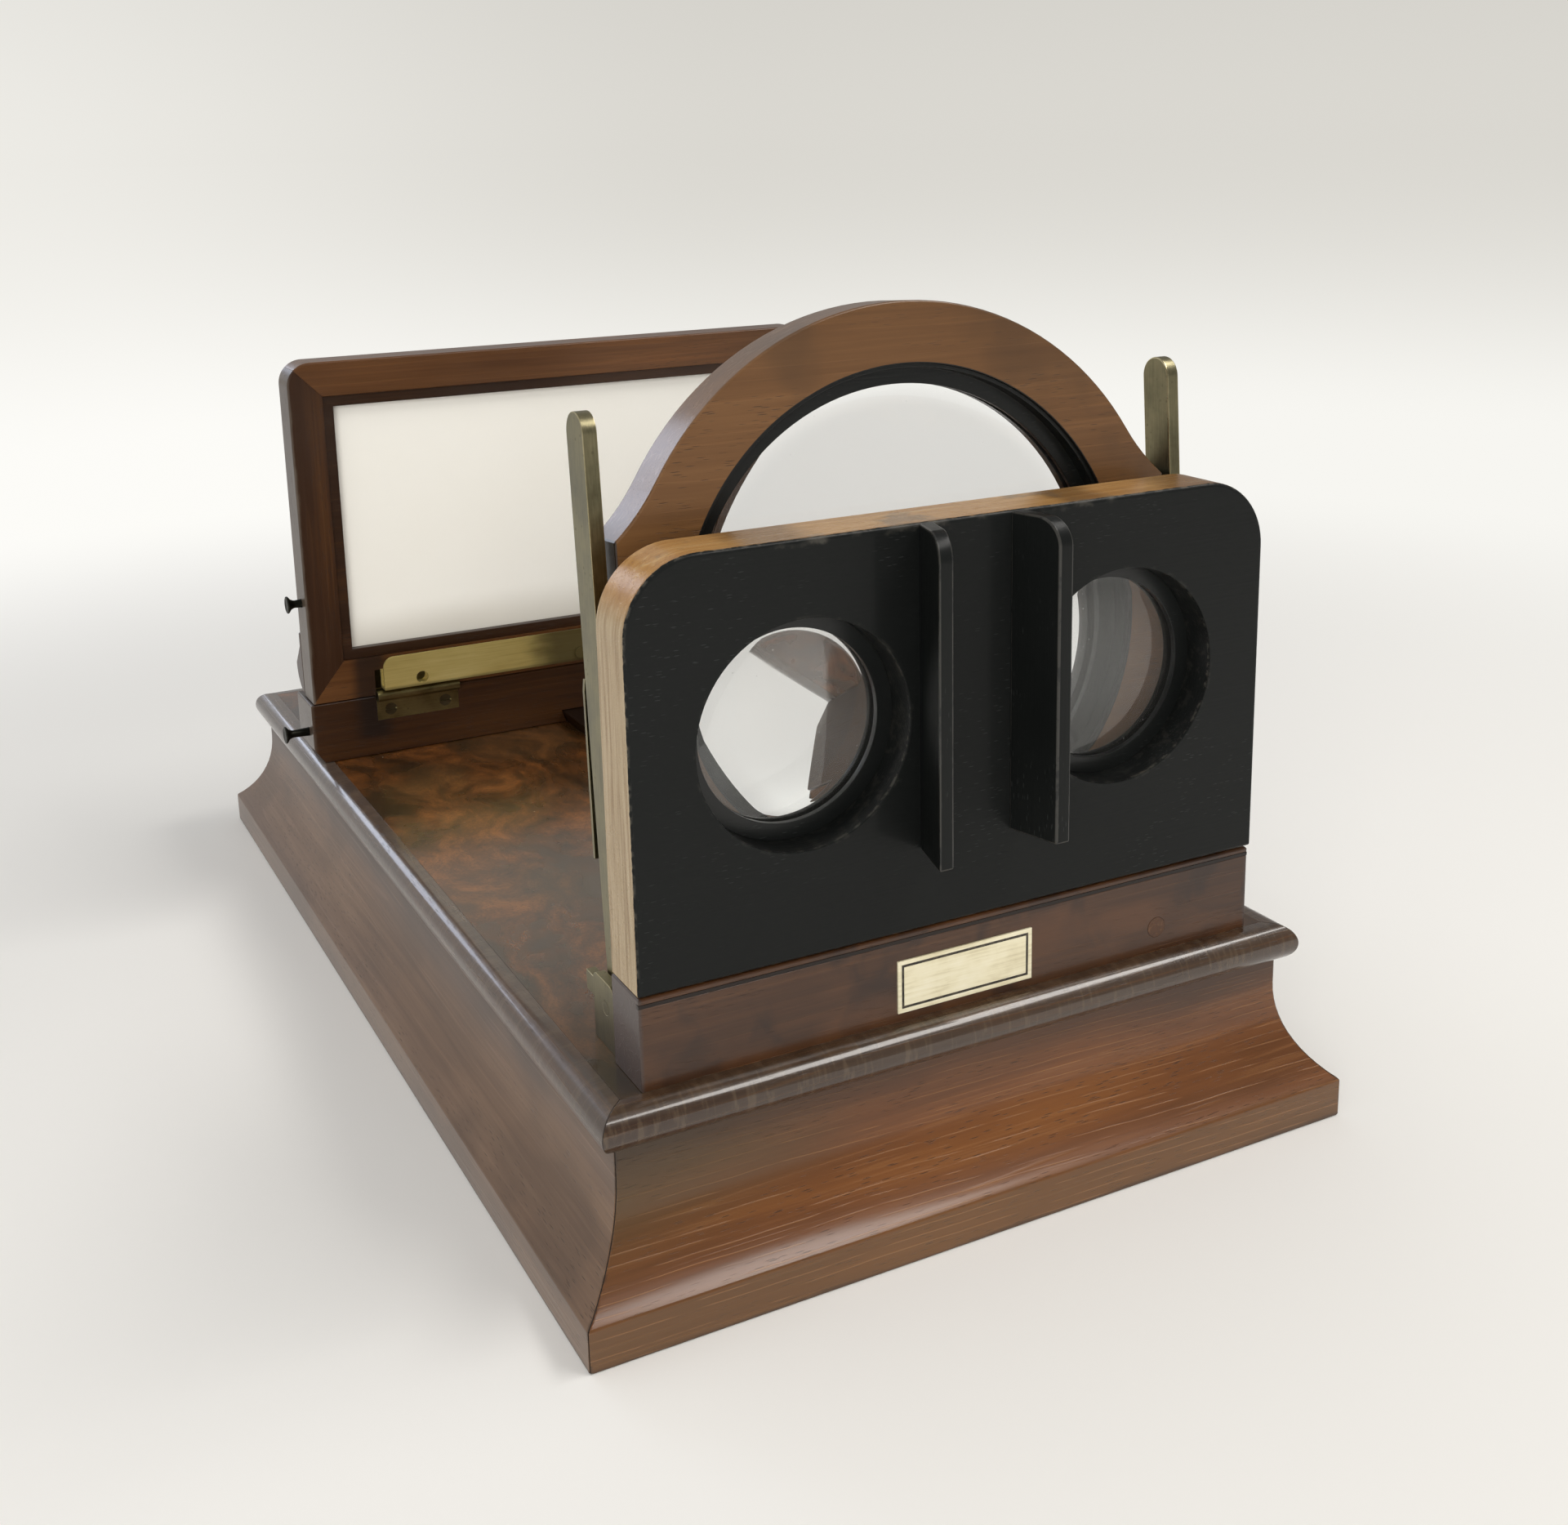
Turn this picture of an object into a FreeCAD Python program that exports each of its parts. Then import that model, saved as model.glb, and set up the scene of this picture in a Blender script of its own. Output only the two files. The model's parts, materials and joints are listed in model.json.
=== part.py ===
import FreeCAD, Part
import math
import os

os.makedirs("parts", exist_ok=True)
V = FreeCAD.Vector

# Graphoscope, millimetres. Origin: middle of the base's underside. +Z up, eyes at -Y, picture at +Y.

# Base: a moulded box
base_width = 195.0
base_depth = 343.0
foot_height = 9.5
cove_inset = 11.7
cove_height = 23.5
neck_height = 6.3
bead_height = 9.0
bead_overhang = 3.8
bead_width = 6.6
plinth_thickness = 20.0
veneer_thickness = 1.2
bottom_thickness = 6.0
bottom_lift = 2.0
glue_block_leg = 14.0
glue_block_gap = 0.5

# Front rail, with its inlays
rail_length = 156.4
rail_depth = 14.1
rail_height = 20.3
stringing_width = 0.8
stringing_depth = 1.0
stringing_drop = 1.3
plaque_length = 34.7
plaque_height = 12.1
plaque_thickness = 0.9
plaque_inlay = 0.6
plaque_lift = 2.0
plaque_offset = -1.0
plug_radius = 2.4
plug_depth = 6.0
plug_lift = 5.9
plug_offset = 51.6

# Stereo board, standing in the rail on two dowels
board_width = 156.8
board_height = 88.75
board_thickness = 14.6
board_proud = 1.0
board_gap = 0.65
board_corner = 16.0
eye_spacing = 79.2
eye_lift = 47.85
eye_radius = 24.5
eye_clear_radius = 20.8
eye_lens_edge = 3.4
eye_lens_bulge = 1.4
eye_ring_thickness = 1.5
eye_rear_lip = 2.0
dowel_radius = 3.0
dowel_spacing = 124.0
dowel_in_board = 12.0
dowel_in_rail = 12.6
dowel_clearance = 0.08

# Nose ribs, splayed towards the face
rib_root = 9.5
rib_thickness = 3.5
rib_splay = 3.3
rib_reach = 12.8
rib_lift = 18.15
rib_height = 70.5
rib_round = 6.0

# Stand: two flat bars that lean back and turn on a rod
lean_degrees = 4.3
pivot_height = 9.2
pivot_setback = 6.7
rod_radius = 1.6
rod_clearance = 0.05
bar_span = 149.2
bar_thickness = 3.2
bar_depth = 9.0
bar_length = 120.75
bracket_thickness = 2.2
bracket_gap = 0.4
bracket_length = 11.2
bracket_height = 15.2
bracket_round = 2.0
bracket_foot = 13.0
bracket_foot_thickness = 1.4
bracket_screw_inset = 3.0
bracket_tab = 4.0
bracket_tab_height = 4.5
bracket_tab_drop = 1.5

# Magnifier: an arched frame that slides on the bars
arch_gap = 2.0
arch_thickness = 12.0
arch_swell = 0.7
arch_drop = 70.0
arch_shoulder = 25.8
arch_cove = 48.0
lens_height = 72.6
lens_bore_radius = 56.6
lens_clear_radius = 52.1
lens_edge = 3.5
lens_bulge = 4.0
lens_rear_lip = 3.0
lens_ring_lip = 0.9
lens_ring_flange = 1.2
guide_sheet = 1.0
guide_low = 30.3
guide_length = 39.2
guide_running_gap = 0.15
guide_leaf_gap_top = 0.9
guide_leaf_gap_low = 2.1
guide_curl = 2.6

# Carriage on its runner
carriage_place = 75.0
carriage_length = 177.8
carriage_depth = 18.5
carriage_height = 18.9
carriage_lift = 0.3
carriage_end_cut = 3.2
carriage_end_rise = 4.6
runner_width = 15.0
runner_height = 4.0
runner_undercut = 1.5
runner_start = 54.0
runner_length = 102.0
runner_round = 4.0
runner_clearance = 0.25

# Screen, hinged on the carriage
screen_width = 175.8
screen_height = 104.9
screen_thickness = 12.0
screen_gap = 0.3
screen_corner = 7.0
stile_width = 10.1
top_rail_width = 10.4
bottom_rail_width = 12.4
screen_bead_width = 3.2
screen_bead_recess = 0.8
rebate_depth = 3.5
rebate_width = 2.0
opal_thickness = 3.0
opal_clearance = 0.2
glazing_width = 4.0
glazing_depth = 3.0

# Butt hinges between them
hinge_length = 26.2
hinge_outer_edge = 68.5
hinge_leaf = 1.0
hinge_screw_share = 0.335
hinge_lower_height = 8.2
hinge_upper_height = 8.2
knuckle_radius = 1.85
hinge_pin_radius = 0.9
hinge_pin_clearance = 0.05
knuckle_end_gap = 0.1
knuckle_groove_gap = 0.3
knuckle_count = 3

# Card ledge
ledge_length = 133.4
ledge_lift = 2.3
ledge_height = 10.4
ledge_reach = 4.5
ledge_sheet = 0.8
ledge_web_height = 5.9
ledge_corner = 3.3
ledge_screw_offset = 54.7
ledge_screw_lift = 2.6
ledge_rivet_offset = -2.0

# Heel cleats and catch pins
cleat_width = 12.0
cleat_height = 19.5
cleat_reach = 8.5
catch_shank_radius = 1.4
catch_head_radius = 2.7
catch_head_height = 2.2
carriage_catch_reach = 7.5
screen_catch_reach = 4.6
catch_seat = 6.0
screen_catch_lift = 31.0
carriage_catch_lift = 9.1

# Countersunk screws
small_head_radius = 1.9
small_shank_radius = 1.0
small_screw_length = 7.0
large_head_radius = 2.8
large_shank_radius = 1.4
large_screw_length = 9.5
slot_width = 0.5
slot_depth = 0.4

# Worn edges, and how near a point must lie to count as on a face
wood_round = 0.6
board_round = 0.9
near = 0.05

# Places that follow from these
half_width = base_width / 2
half_depth = base_depth / 2
neck_top = foot_height + cove_height + neck_height
panel_top = neck_top + bead_height
bead_nose = cove_inset - bead_overhang
bead_inner = bead_nose + bead_width
rail_front = -half_depth + bead_inner
rail_rear = rail_front + rail_depth
rail_top = panel_top + rail_height
board_front = rail_front - board_proud
board_rear = board_front + board_thickness
board_bottom = rail_top + board_gap
board_middle = board_front + board_thickness / 2
pivot_y = rail_rear + pivot_setback
pivot_z = panel_top + pivot_height
bar_outer = bar_span / 2
bar_inner = bar_outer - bar_thickness
arch_half = bar_inner - arch_gap
arch_radius = arch_half + arch_swell
carriage_bottom = panel_top + carriage_lift
carriage_top = carriage_bottom + carriage_height
screen_bottom = carriage_top + screen_gap
screen_top = screen_bottom + screen_height
screen_rear = carriage_place + screen_thickness
hinge_y = carriage_place + hinge_leaf - knuckle_radius
hinge_z = carriage_top + screen_gap / 2
hinge_middle = hinge_outer_edge - hinge_length / 2


def box(x0, x1, y0, y1, z0, z1):
    return Part.makeBox(x1 - x0, y1 - y0, z1 - z0, V(x0, y0, z0))


def rod_along(axis, radius, start, length):
    return Part.makeCylinder(radius, length, start, axis)


def prism(points, travel):
    wire = Part.makePolygon(points + [points[0]])
    return Part.Face(wire).extrude(travel)


def face_of(edges):
    return Part.Face(Part.Wire(edges))


def soften(shape, radius, wanted):
    edges = [edge for edge in shape.Edges if wanted(edge)]
    return shape.makeFillet(radius, edges)


def along(edge, axis):
    step = edge.Vertexes[-1].Point - edge.Vertexes[0].Point
    return step.Length > near and abs(abs(step.dot(axis)) - step.Length) < near / 10


def in_plane(edge, axis, height):
    box_of_edge = edge.BoundBox
    low = V(box_of_edge.XMin, box_of_edge.YMin, box_of_edge.ZMin).dot(axis)
    high = V(box_of_edge.XMax, box_of_edge.YMax, box_of_edge.ZMax).dot(axis)
    return abs(low - height) < near and abs(high - height) < near


def round_corners(shape, radius, axis, top):
    return soften(shape, radius, lambda edge: along(edge, axis) and edge.Vertexes[0].Z > top - near)


def round_rims(shape, radius, axis, heights):
    return soften(shape, radius, lambda edge: any(in_plane(edge, axis, height) for height in heights))


def mirrored_x(shape):
    return shape.mirror(V(0, 0, 0), V(1, 0, 0))


def mirrored_y(shape):
    return shape.mirror(V(0, 0, 0), V(0, 1, 0))


def save(name, shape):
    shape.exportStep("parts/" + name + ".step")


def save_pair(name, right_shape):
    save(name + "_right", right_shape)
    save(name + "_left", mirrored_x(right_shape))


def screw(head_point, inward, head_radius, shank_radius, length):
    # Countersunk screw whose flat head is at head_point; also the tool that cuts its own hole.
    head_height = head_radius - shank_radius
    head = Part.makeCone(head_radius, shank_radius, head_height, head_point, inward)
    return head.fuse(Part.makeCylinder(shank_radius, length, head_point, inward)).removeSplitter()


def slotted(screw_shape, head_point, inward, across, head_radius):
    side = inward.cross(across)
    blade = Part.makeBox(2 * head_radius, slot_width, slot_depth)
    blade.translate(V(-head_radius, -slot_width / 2, 0))
    turn = FreeCAD.Rotation(across, side, inward, "XZY")
    blade.Placement = FreeCAD.Placement(head_point, turn).multiply(blade.Placement)
    return screw_shape.cut(blade)


def small_screw(point, inward):
    return screw(point, inward, small_head_radius, small_shank_radius, small_screw_length)


def large_screw(point, inward):
    return screw(point, inward, large_head_radius, large_shank_radius, large_screw_length)


def on_stand(shape):
    # Stand pieces are drawn upright round the pivot, then leaned back and set on it.
    turned = shape.copy()
    turned.rotate(V(0, 0, 0), V(1, 0, 0), -lean_degrees)
    turned.translate(V(0, pivot_y, pivot_z))
    return turned


# Base

def plinth_section(place):
    cove_radius = (cove_height ** 2 + cove_inset ** 2) / (2 * cove_inset)
    cove_top = foot_height + cove_height
    half_turn = math.asin(cove_height / cove_radius) / 2
    mid_inset = cove_inset - cove_radius * (1 - math.cos(half_turn))
    mid_height = cove_top - cove_radius * math.sin(half_turn)
    foot = place(0, foot_height)
    neck = place(cove_inset, cove_top)
    top_in = place(plinth_thickness, neck_top)
    edges = [Part.makeLine(place(0, 0), foot)]
    edges.append(Part.Arc(foot, place(mid_inset, mid_height), neck).toShape())
    edges.append(Part.makeLine(neck, place(cove_inset, neck_top)))
    edges.append(Part.makeLine(place(cove_inset, neck_top), top_in))
    edges.append(Part.makeLine(top_in, place(plinth_thickness, 0)))
    edges.append(Part.makeLine(place(plinth_thickness, 0), place(0, 0)))
    return face_of(edges)


def bead_section(place):
    radius = bead_height / 2
    centre = bead_nose + radius
    top = place(centre, panel_top)
    low = place(centre, neck_top)
    edges = [Part.Arc(low, place(bead_nose, neck_top + radius), top).toShape()]
    edges.append(Part.makeLine(top, place(bead_inner, panel_top)))
    edges.append(Part.makeLine(place(bead_inner, panel_top), place(bead_inner, neck_top)))
    edges.append(Part.makeLine(place(bead_inner, neck_top), low))
    return face_of(edges)


def front_strip(section, depth):
    def place(inset, height):
        return V(-half_width, -half_depth + inset, height)

    bar = section(place).extrude(V(base_width, 0, 0))
    points = [V(-half_width, -half_depth, 0), V(half_width, -half_depth, 0)]
    points += [V(half_width - depth, -half_depth + depth, 0), V(-half_width + depth, -half_depth + depth, 0)]
    return bar.common(prism(points, V(0, 0, panel_top)))


def left_strip(section, depth):
    def place(inset, height):
        return V(-half_width + inset, -half_depth, height)

    bar = section(place).extrude(V(0, base_depth, 0))
    points = [V(-half_width, -half_depth, 0), V(-half_width, half_depth, 0)]
    points += [V(-half_width + depth, half_depth - depth, 0), V(-half_width + depth, -half_depth + depth, 0)]
    return bar.common(prism(points, V(0, 0, panel_top)))


def save_moulding(name, section, depth):
    front = front_strip(section, depth)
    left = left_strip(section, depth)
    save(name + "_front", front)
    save(name + "_back", mirrored_y(front))
    save(name + "_left", left)
    save(name + "_right", mirrored_x(left))


def runner_solid(gap):
    wide = runner_width / 2 + gap
    narrow = wide - runner_undercut
    top = panel_top + runner_height + gap
    points = [V(-narrow, runner_start, panel_top), V(narrow, runner_start, panel_top)]
    points += [V(wide, runner_start, top), V(-wide, runner_start, top)]
    return prism(points, V(0, runner_length, 0))


def focus_runner():
    # The runner's own end corners are rounded; the groove that slides on it is not.
    half = runner_width / 2
    plan = box(-half, half, runner_start, runner_start + runner_length, panel_top, panel_top + runner_height)
    plan = soften(plan, runner_round, lambda edge: along(edge, V(0, 0, 1)))
    return runner_solid(0.0).common(plan).cut(runner_screw_list())


def runner_screw_list():
    places = [runner_start + runner_length * share for share in (0.08, 0.5, 0.92)]
    return [large_screw(V(0, y, panel_top + runner_height), V(0, 0, -1)) for y in places]


def bracket_screw_list():
    foot_end = bar_inner - bracket_foot
    x = (foot_end + bar_inner) / 2
    rear = pivot_y - bar_depth / 2 + bracket_length
    low = panel_top + bracket_foot_thickness
    front = rear - bracket_length
    points = [V(x, front + bracket_screw_inset, low), V(x, rear - bracket_screw_inset, low)]
    right = [small_screw(point, V(0, 0, -1)) for point in points]
    return right + [mirrored_x(one) for one in right]


def hinge_bracket():
    inner = bar_outer + bracket_gap
    outer = inner + bracket_thickness
    front = pivot_y - bar_depth / 2
    rear = front + bracket_length
    top = panel_top + bracket_height
    ear = round_corners(box(inner, outer, front, rear, panel_top, top), bracket_round, V(1, 0, 0), top)
    tab_top = top - bracket_tab_drop
    tab = box(inner, outer, rear - bracket_round, rear + bracket_tab, tab_top - bracket_tab_height, tab_top)
    foot = box(bar_inner - bracket_foot, inner, front, rear, panel_top, panel_top + bracket_foot_thickness)
    bracket = ear.fuse([tab, foot]).removeSplitter()
    bracket = bracket.cut(pivot_rod_shank(0.0))
    for one in bracket_screw_list():
        bracket = bracket.cut(one)
    return bracket


def pivot_rod_shank(gap):
    reach = bar_outer + bracket_gap + bracket_thickness
    return rod_along(V(1, 0, 0), rod_radius + gap, V(-reach, pivot_y, pivot_z), 2 * reach)


def plaque_solid(front, rear):
    middle = panel_top + plaque_lift + plaque_height / 2
    half = plaque_length / 2
    return box(plaque_offset - half, plaque_offset + half, front, rear,
               middle - plaque_height / 2, middle + plaque_height / 2)


def stringing():
    top = rail_top - stringing_drop
    return box(-rail_length / 2, rail_length / 2, rail_front, rail_front + stringing_depth,
               top - stringing_width, top)


def rail_plug():
    return rod_along(V(0, 1, 0), plug_radius, V(plug_offset, rail_front, panel_top + plug_lift), plug_depth)


def dowel_places():
    return [V(side * dowel_spacing / 2, board_middle, 0) for side in (-1, 1)]


def front_rail():
    rail = box(-rail_length / 2, rail_length / 2, rail_front, rail_rear, panel_top, rail_top)
    rail = round_rims(rail, wood_round, V(0, 0, 1), [rail_top])
    rail = rail.cut(plaque_solid(rail_front, rail_front + plaque_inlay))
    rail = rail.cut([stringing(), rail_plug()])
    for place in dowel_places():
        mouth = place + V(0, 0, rail_top - dowel_in_rail)
        rail = rail.cut(rod_along(V(0, 0, 1), dowel_radius + dowel_clearance, mouth, dowel_in_rail))
    return rail


def base_panel():
    side = half_width - bead_inner
    end = half_depth - bead_inner
    panel = box(-side, side, -end, end, neck_top, panel_top - veneer_thickness)
    return panel


def burr_veneer():
    side = half_width - bead_inner
    end = half_depth - bead_inner
    return box(-side, side, -end, end, panel_top - veneer_thickness, panel_top)


def bottom_board():
    side = half_width - plinth_thickness
    end = half_depth - plinth_thickness
    return box(-side, side, -end, end, bottom_lift, bottom_lift + bottom_thickness)


def glue_blocks():
    side = half_width - plinth_thickness
    end = half_depth - plinth_thickness
    low = bottom_lift + bottom_thickness
    points = [V(side, end, low), V(side - glue_block_leg, end, low), V(side, end - glue_block_leg, low)]
    block = prism(points, V(0, 0, neck_top - glue_block_gap - low))
    back = [block, mirrored_x(block)]
    return Part.makeCompound(back + [mirrored_y(one) for one in back])


def make_base():
    screws = runner_screw_list()
    feet = bracket_screw_list()
    save_moulding("plinth", plinth_section, plinth_thickness)
    save_moulding("bead", bead_section, bead_inner)
    save("base_panel", base_panel().cut(screws + feet))
    save("burr_veneer", burr_veneer().cut(screws + feet))
    save("bottom_board", bottom_board())
    save("glue_blocks", glue_blocks())
    save("front_rail", front_rail())
    save("rail_stringing", stringing())
    save("blank_plaque", plaque_solid(rail_front + plaque_inlay - plaque_thickness, rail_front + plaque_inlay))
    save("rail_plug", rail_plug())
    save("focus_runner", focus_runner())
    save("runner_screws", Part.makeCompound(screws))
    save_pair("hinge_bracket", hinge_bracket())
    save("bracket_screws", Part.makeCompound(feet))
    save("pivot_rod", pivot_rod_shank(0.0))


# Stereo board

def eye_bore(radius, front, depth):
    height = board_bottom + eye_lift
    right = rod_along(V(0, 1, 0), radius, V(eye_spacing / 2, front, height), depth)
    return right


def both_eyes(shape):
    return [shape, mirrored_x(shape)]


def stereo_board():
    half = board_width / 2
    top = board_bottom + board_height
    board = box(-half, half, board_front, board_rear, board_bottom, top)
    board = round_corners(board, board_corner, V(0, 1, 0), top)
    board = round_rims(board, board_round, V(0, 1, 0), [board_front, board_rear])
    seat = board_thickness - eye_rear_lip
    board = board.cut(both_eyes(eye_bore(eye_radius, board_front, seat)))
    board = board.cut(both_eyes(eye_bore(eye_clear_radius, board_front, board_thickness)))
    for place in dowel_places():
        board = board.cut(rod_along(V(0, 0, 1), dowel_radius, place + V(0, 0, board_bottom), dowel_in_board))
    return board


def lens_solid(clear_radius, rim_radius, edge, bulge):
    # Two domes on a flat-rimmed disc, centred on the origin, facing -Y and +Y.
    low = V(0, -edge / 2 - bulge, 0)
    high = V(0, edge / 2 + bulge, 0)
    sphere = (clear_radius ** 2 + bulge ** 2) / (2 * bulge)
    half_turn = math.asin(clear_radius / sphere) / 2
    mid_x = sphere * math.sin(half_turn)
    mid_drop = sphere * (1 - math.cos(half_turn))
    front_edge = V(clear_radius, -edge / 2, 0)
    rear_edge = V(clear_radius, edge / 2, 0)
    edges = [Part.Arc(low, V(mid_x, low.y + mid_drop, 0), front_edge).toShape()]
    edges.append(Part.makeLine(front_edge, V(rim_radius, -edge / 2, 0)))
    edges.append(Part.makeLine(V(rim_radius, -edge / 2, 0), V(rim_radius, edge / 2, 0)))
    edges.append(Part.makeLine(V(rim_radius, edge / 2, 0), rear_edge))
    edges.append(Part.Arc(rear_edge, V(mid_x, high.y - mid_drop, 0), high).toShape())
    edges.append(Part.makeLine(high, low))
    return face_of(edges).revolve(V(0, 0, 0), V(0, 1, 0), 360)


def stereo_lens():
    lens = lens_solid(eye_clear_radius, eye_radius, eye_lens_edge, eye_lens_bulge)
    lens.translate(V(eye_spacing / 2, board_rear - eye_rear_lip - eye_lens_edge / 2, board_bottom + eye_lift))
    return lens


def stereo_ring():
    front = board_rear - eye_rear_lip - eye_lens_edge - eye_ring_thickness
    return eye_bore(eye_radius, front, eye_ring_thickness).cut(eye_bore(eye_clear_radius, front, eye_ring_thickness))


def nose_rib():
    low = board_bottom + rib_lift
    front = board_front - rib_reach
    points = [V(rib_root, board_front, low), V(rib_root + rib_splay, front, low)]
    points += [V(rib_root + rib_splay + rib_thickness, front, low), V(rib_root + rib_thickness, board_front, low)]
    rib = prism(points, V(0, 0, rib_height))
    top = low + rib_height
    return soften(rib, rib_round,
                  lambda edge: along(edge, V(1, 0, 0)) and edge.Vertexes[0].Z > top - near
                  and edge.Vertexes[0].Y < front + near)


def board_dowels():
    length = dowel_in_rail + board_gap + dowel_in_board
    low = rail_top - dowel_in_rail
    return Part.makeCompound([rod_along(V(0, 0, 1), dowel_radius, place + V(0, 0, low), length)
                              for place in dowel_places()])


def make_stereo_board():
    save("stereo_board", stereo_board())
    save_pair("stereo_lens", stereo_lens())
    save_pair("stereo_ring", stereo_ring())
    save_pair("nose_rib", nose_rib())
    save("board_dowels", board_dowels())


# Stand and magnifier, drawn with the pivot at the origin and the bars upright

def stand_bar():
    radius = bar_depth / 2
    low = rod_along(V(1, 0, 0), radius, V(bar_inner, 0, 0), bar_thickness)
    high = rod_along(V(1, 0, 0), radius, V(bar_inner, 0, bar_length), bar_thickness)
    middle = box(bar_inner, bar_outer, -radius, radius, 0, bar_length)
    hole = rod_along(V(1, 0, 0), rod_radius + rod_clearance, V(bar_inner, 0, 0), bar_thickness)
    return middle.fuse([low, high]).removeSplitter().cut(hole)


def arch_outline():
    # Corner of the shoulder, a small cove, then the round top.
    corner_reach = math.hypot(arch_half, arch_shoulder)
    cove_reach = arch_radius + arch_cove
    part = (cove_reach ** 2 + corner_reach ** 2 - arch_cove ** 2) / (2 * cove_reach * corner_reach)
    angle = math.atan2(arch_shoulder, arch_half) + math.acos(part)
    centre = V(cove_reach * math.cos(angle), 0, cove_reach * math.sin(angle))
    corner = V(arch_half, 0, arch_shoulder)
    meet = V(arch_radius * math.cos(angle), 0, arch_radius * math.sin(angle))
    inward = ((corner - centre).normalize() + (meet - centre).normalize()).normalize()
    middle = centre + inward * arch_cove
    return corner, middle, meet


def flip(point):
    return V(-point.x, point.y, point.z)


def arch_solid():
    corner, middle, meet = arch_outline()
    foot = V(arch_half, 0, -arch_drop)
    edges = [Part.makeLine(flip(foot), foot), Part.makeLine(foot, corner)]
    edges.append(Part.Arc(corner, middle, meet).toShape())
    edges.append(Part.Arc(meet, V(0, 0, arch_radius), flip(meet)).toShape())
    edges.append(Part.Arc(flip(meet), flip(middle), flip(corner)).toShape())
    edges.append(Part.makeLine(flip(corner), flip(foot)))
    arch = face_of(edges).extrude(V(0, arch_thickness, 0))
    return round_rims(arch, wood_round, V(0, 1, 0), [0, arch_thickness])


def lens_bore(radius, front, depth):
    return rod_along(V(0, 1, 0), radius, V(0, front, 0), depth)


def at_lens(shape):
    # Lens pieces are drawn round the lens centre, with the frame's front face at y = 0.
    moved = shape.copy()
    moved.translate(V(0, -bar_depth / 2, lens_height))
    return moved


def guide_screw_list():
    places = [guide_low + guide_length * share for share in (0.25, 0.75)]
    head = arch_half + guide_sheet
    right = [small_screw(V(head, arch_thickness / 2 - bar_depth / 2, z), V(-1, 0, 0)) for z in places]
    return right + [mirrored_x(one) for one in right]


def magnifier_frame():
    seat = arch_thickness - lens_rear_lip
    frame = arch_solid().cut(lens_bore(lens_bore_radius, 0, seat))
    frame = frame.cut(lens_bore(lens_clear_radius, 0, arch_thickness))
    return at_lens(frame).cut(guide_screw_list())


def magnifier_ring():
    depth = arch_thickness - lens_rear_lip - lens_edge
    inner_front = lens_bore_radius - lens_ring_lip
    step = depth - lens_ring_flange
    points = [V(lens_bore_radius, lens_ring_lip, 0), V(inner_front, lens_ring_lip, 0), V(inner_front, step, 0)]
    points += [V(lens_clear_radius, step, 0), V(lens_clear_radius, depth, 0), V(lens_bore_radius, depth, 0)]
    wire = Part.makePolygon(points + [points[0]])
    return at_lens(Part.Face(wire).revolve(V(0, 0, 0), V(0, 1, 0), 360))


def magnifier_lens():
    lens = lens_solid(lens_clear_radius, lens_bore_radius, lens_edge, lens_bulge)
    lens.translate(V(0, arch_thickness - lens_rear_lip - lens_edge / 2, 0))
    return at_lens(lens)


def slide_guide():
    # A sheet channel round the bar: flange in front, web beside it, spring leaf behind.
    bar_front = -bar_depth / 2
    bar_rear = bar_depth / 2
    high = guide_low + guide_length
    flange_rear = bar_front - guide_running_gap
    leaf_top = bar_rear + guide_leaf_gap_top
    leaf_low = bar_rear + guide_leaf_gap_low
    curl_low = high - guide_curl
    curl_face = bar_rear + guide_running_gap
    flange = box(arch_half, bar_outer, flange_rear - guide_sheet, flange_rear, guide_low, high)
    points = [V(arch_half, leaf_low, guide_low), V(arch_half, leaf_top, curl_low), V(arch_half, curl_face, high)]
    points += [V(arch_half, curl_face + guide_sheet, high), V(arch_half, leaf_top + guide_sheet, curl_low)]
    points += [V(arch_half, leaf_low + guide_sheet, guide_low)]
    leaf = prism(points, V(bar_outer - arch_half, 0, 0))
    edge = [V(arch_half, flange_rear - guide_sheet, guide_low), V(arch_half, leaf_low + guide_sheet, guide_low)]
    edge += [V(arch_half, leaf_top + guide_sheet, curl_low), V(arch_half, curl_face + guide_sheet, high)]
    edge += [V(arch_half, flange_rear - guide_sheet, high)]
    web = prism(edge, V(guide_sheet, 0, 0))
    return web.fuse([flange, leaf]).removeSplitter().cut(guide_screw_list())


def make_stand():
    save_pair("stand_bar", on_stand(stand_bar()))


def make_magnifier():
    save("magnifier_frame", on_stand(magnifier_frame()))
    save("magnifier_ring", on_stand(magnifier_ring()))
    save("magnifier_lens", on_stand(magnifier_lens()))
    save_pair("slide_guide", on_stand(slide_guide()))
    save("guide_screws", on_stand(Part.makeCompound(guide_screw_list())))


# Carriage

def knuckle_slots(kept):
    # Stretches of the hinge that belong to one leaf: kept is 0 for the outer ones, 1 for the middle.
    step = hinge_length / knuckle_count
    start = hinge_outer_edge - hinge_length
    return [start + step * index for index in range(knuckle_count) if index % 2 == kept]


def hinge_barrel(start, length, radius):
    return rod_along(V(1, 0, 0), radius, V(start, hinge_y, hinge_z), length)


def hinge_screw_list(height):
    x_places = [hinge_middle + hinge_length * side for side in (-hinge_screw_share, hinge_screw_share)]
    return [small_screw(V(x, carriage_place, height), V(0, 1, 0)) for x in x_places]


def lower_screw_list():
    return hinge_screw_list(hinge_z - (hinge_lower_height + knuckle_radius) / 2)


def upper_screw_list():
    return hinge_screw_list(hinge_z + (hinge_upper_height + knuckle_radius) / 2)


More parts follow.
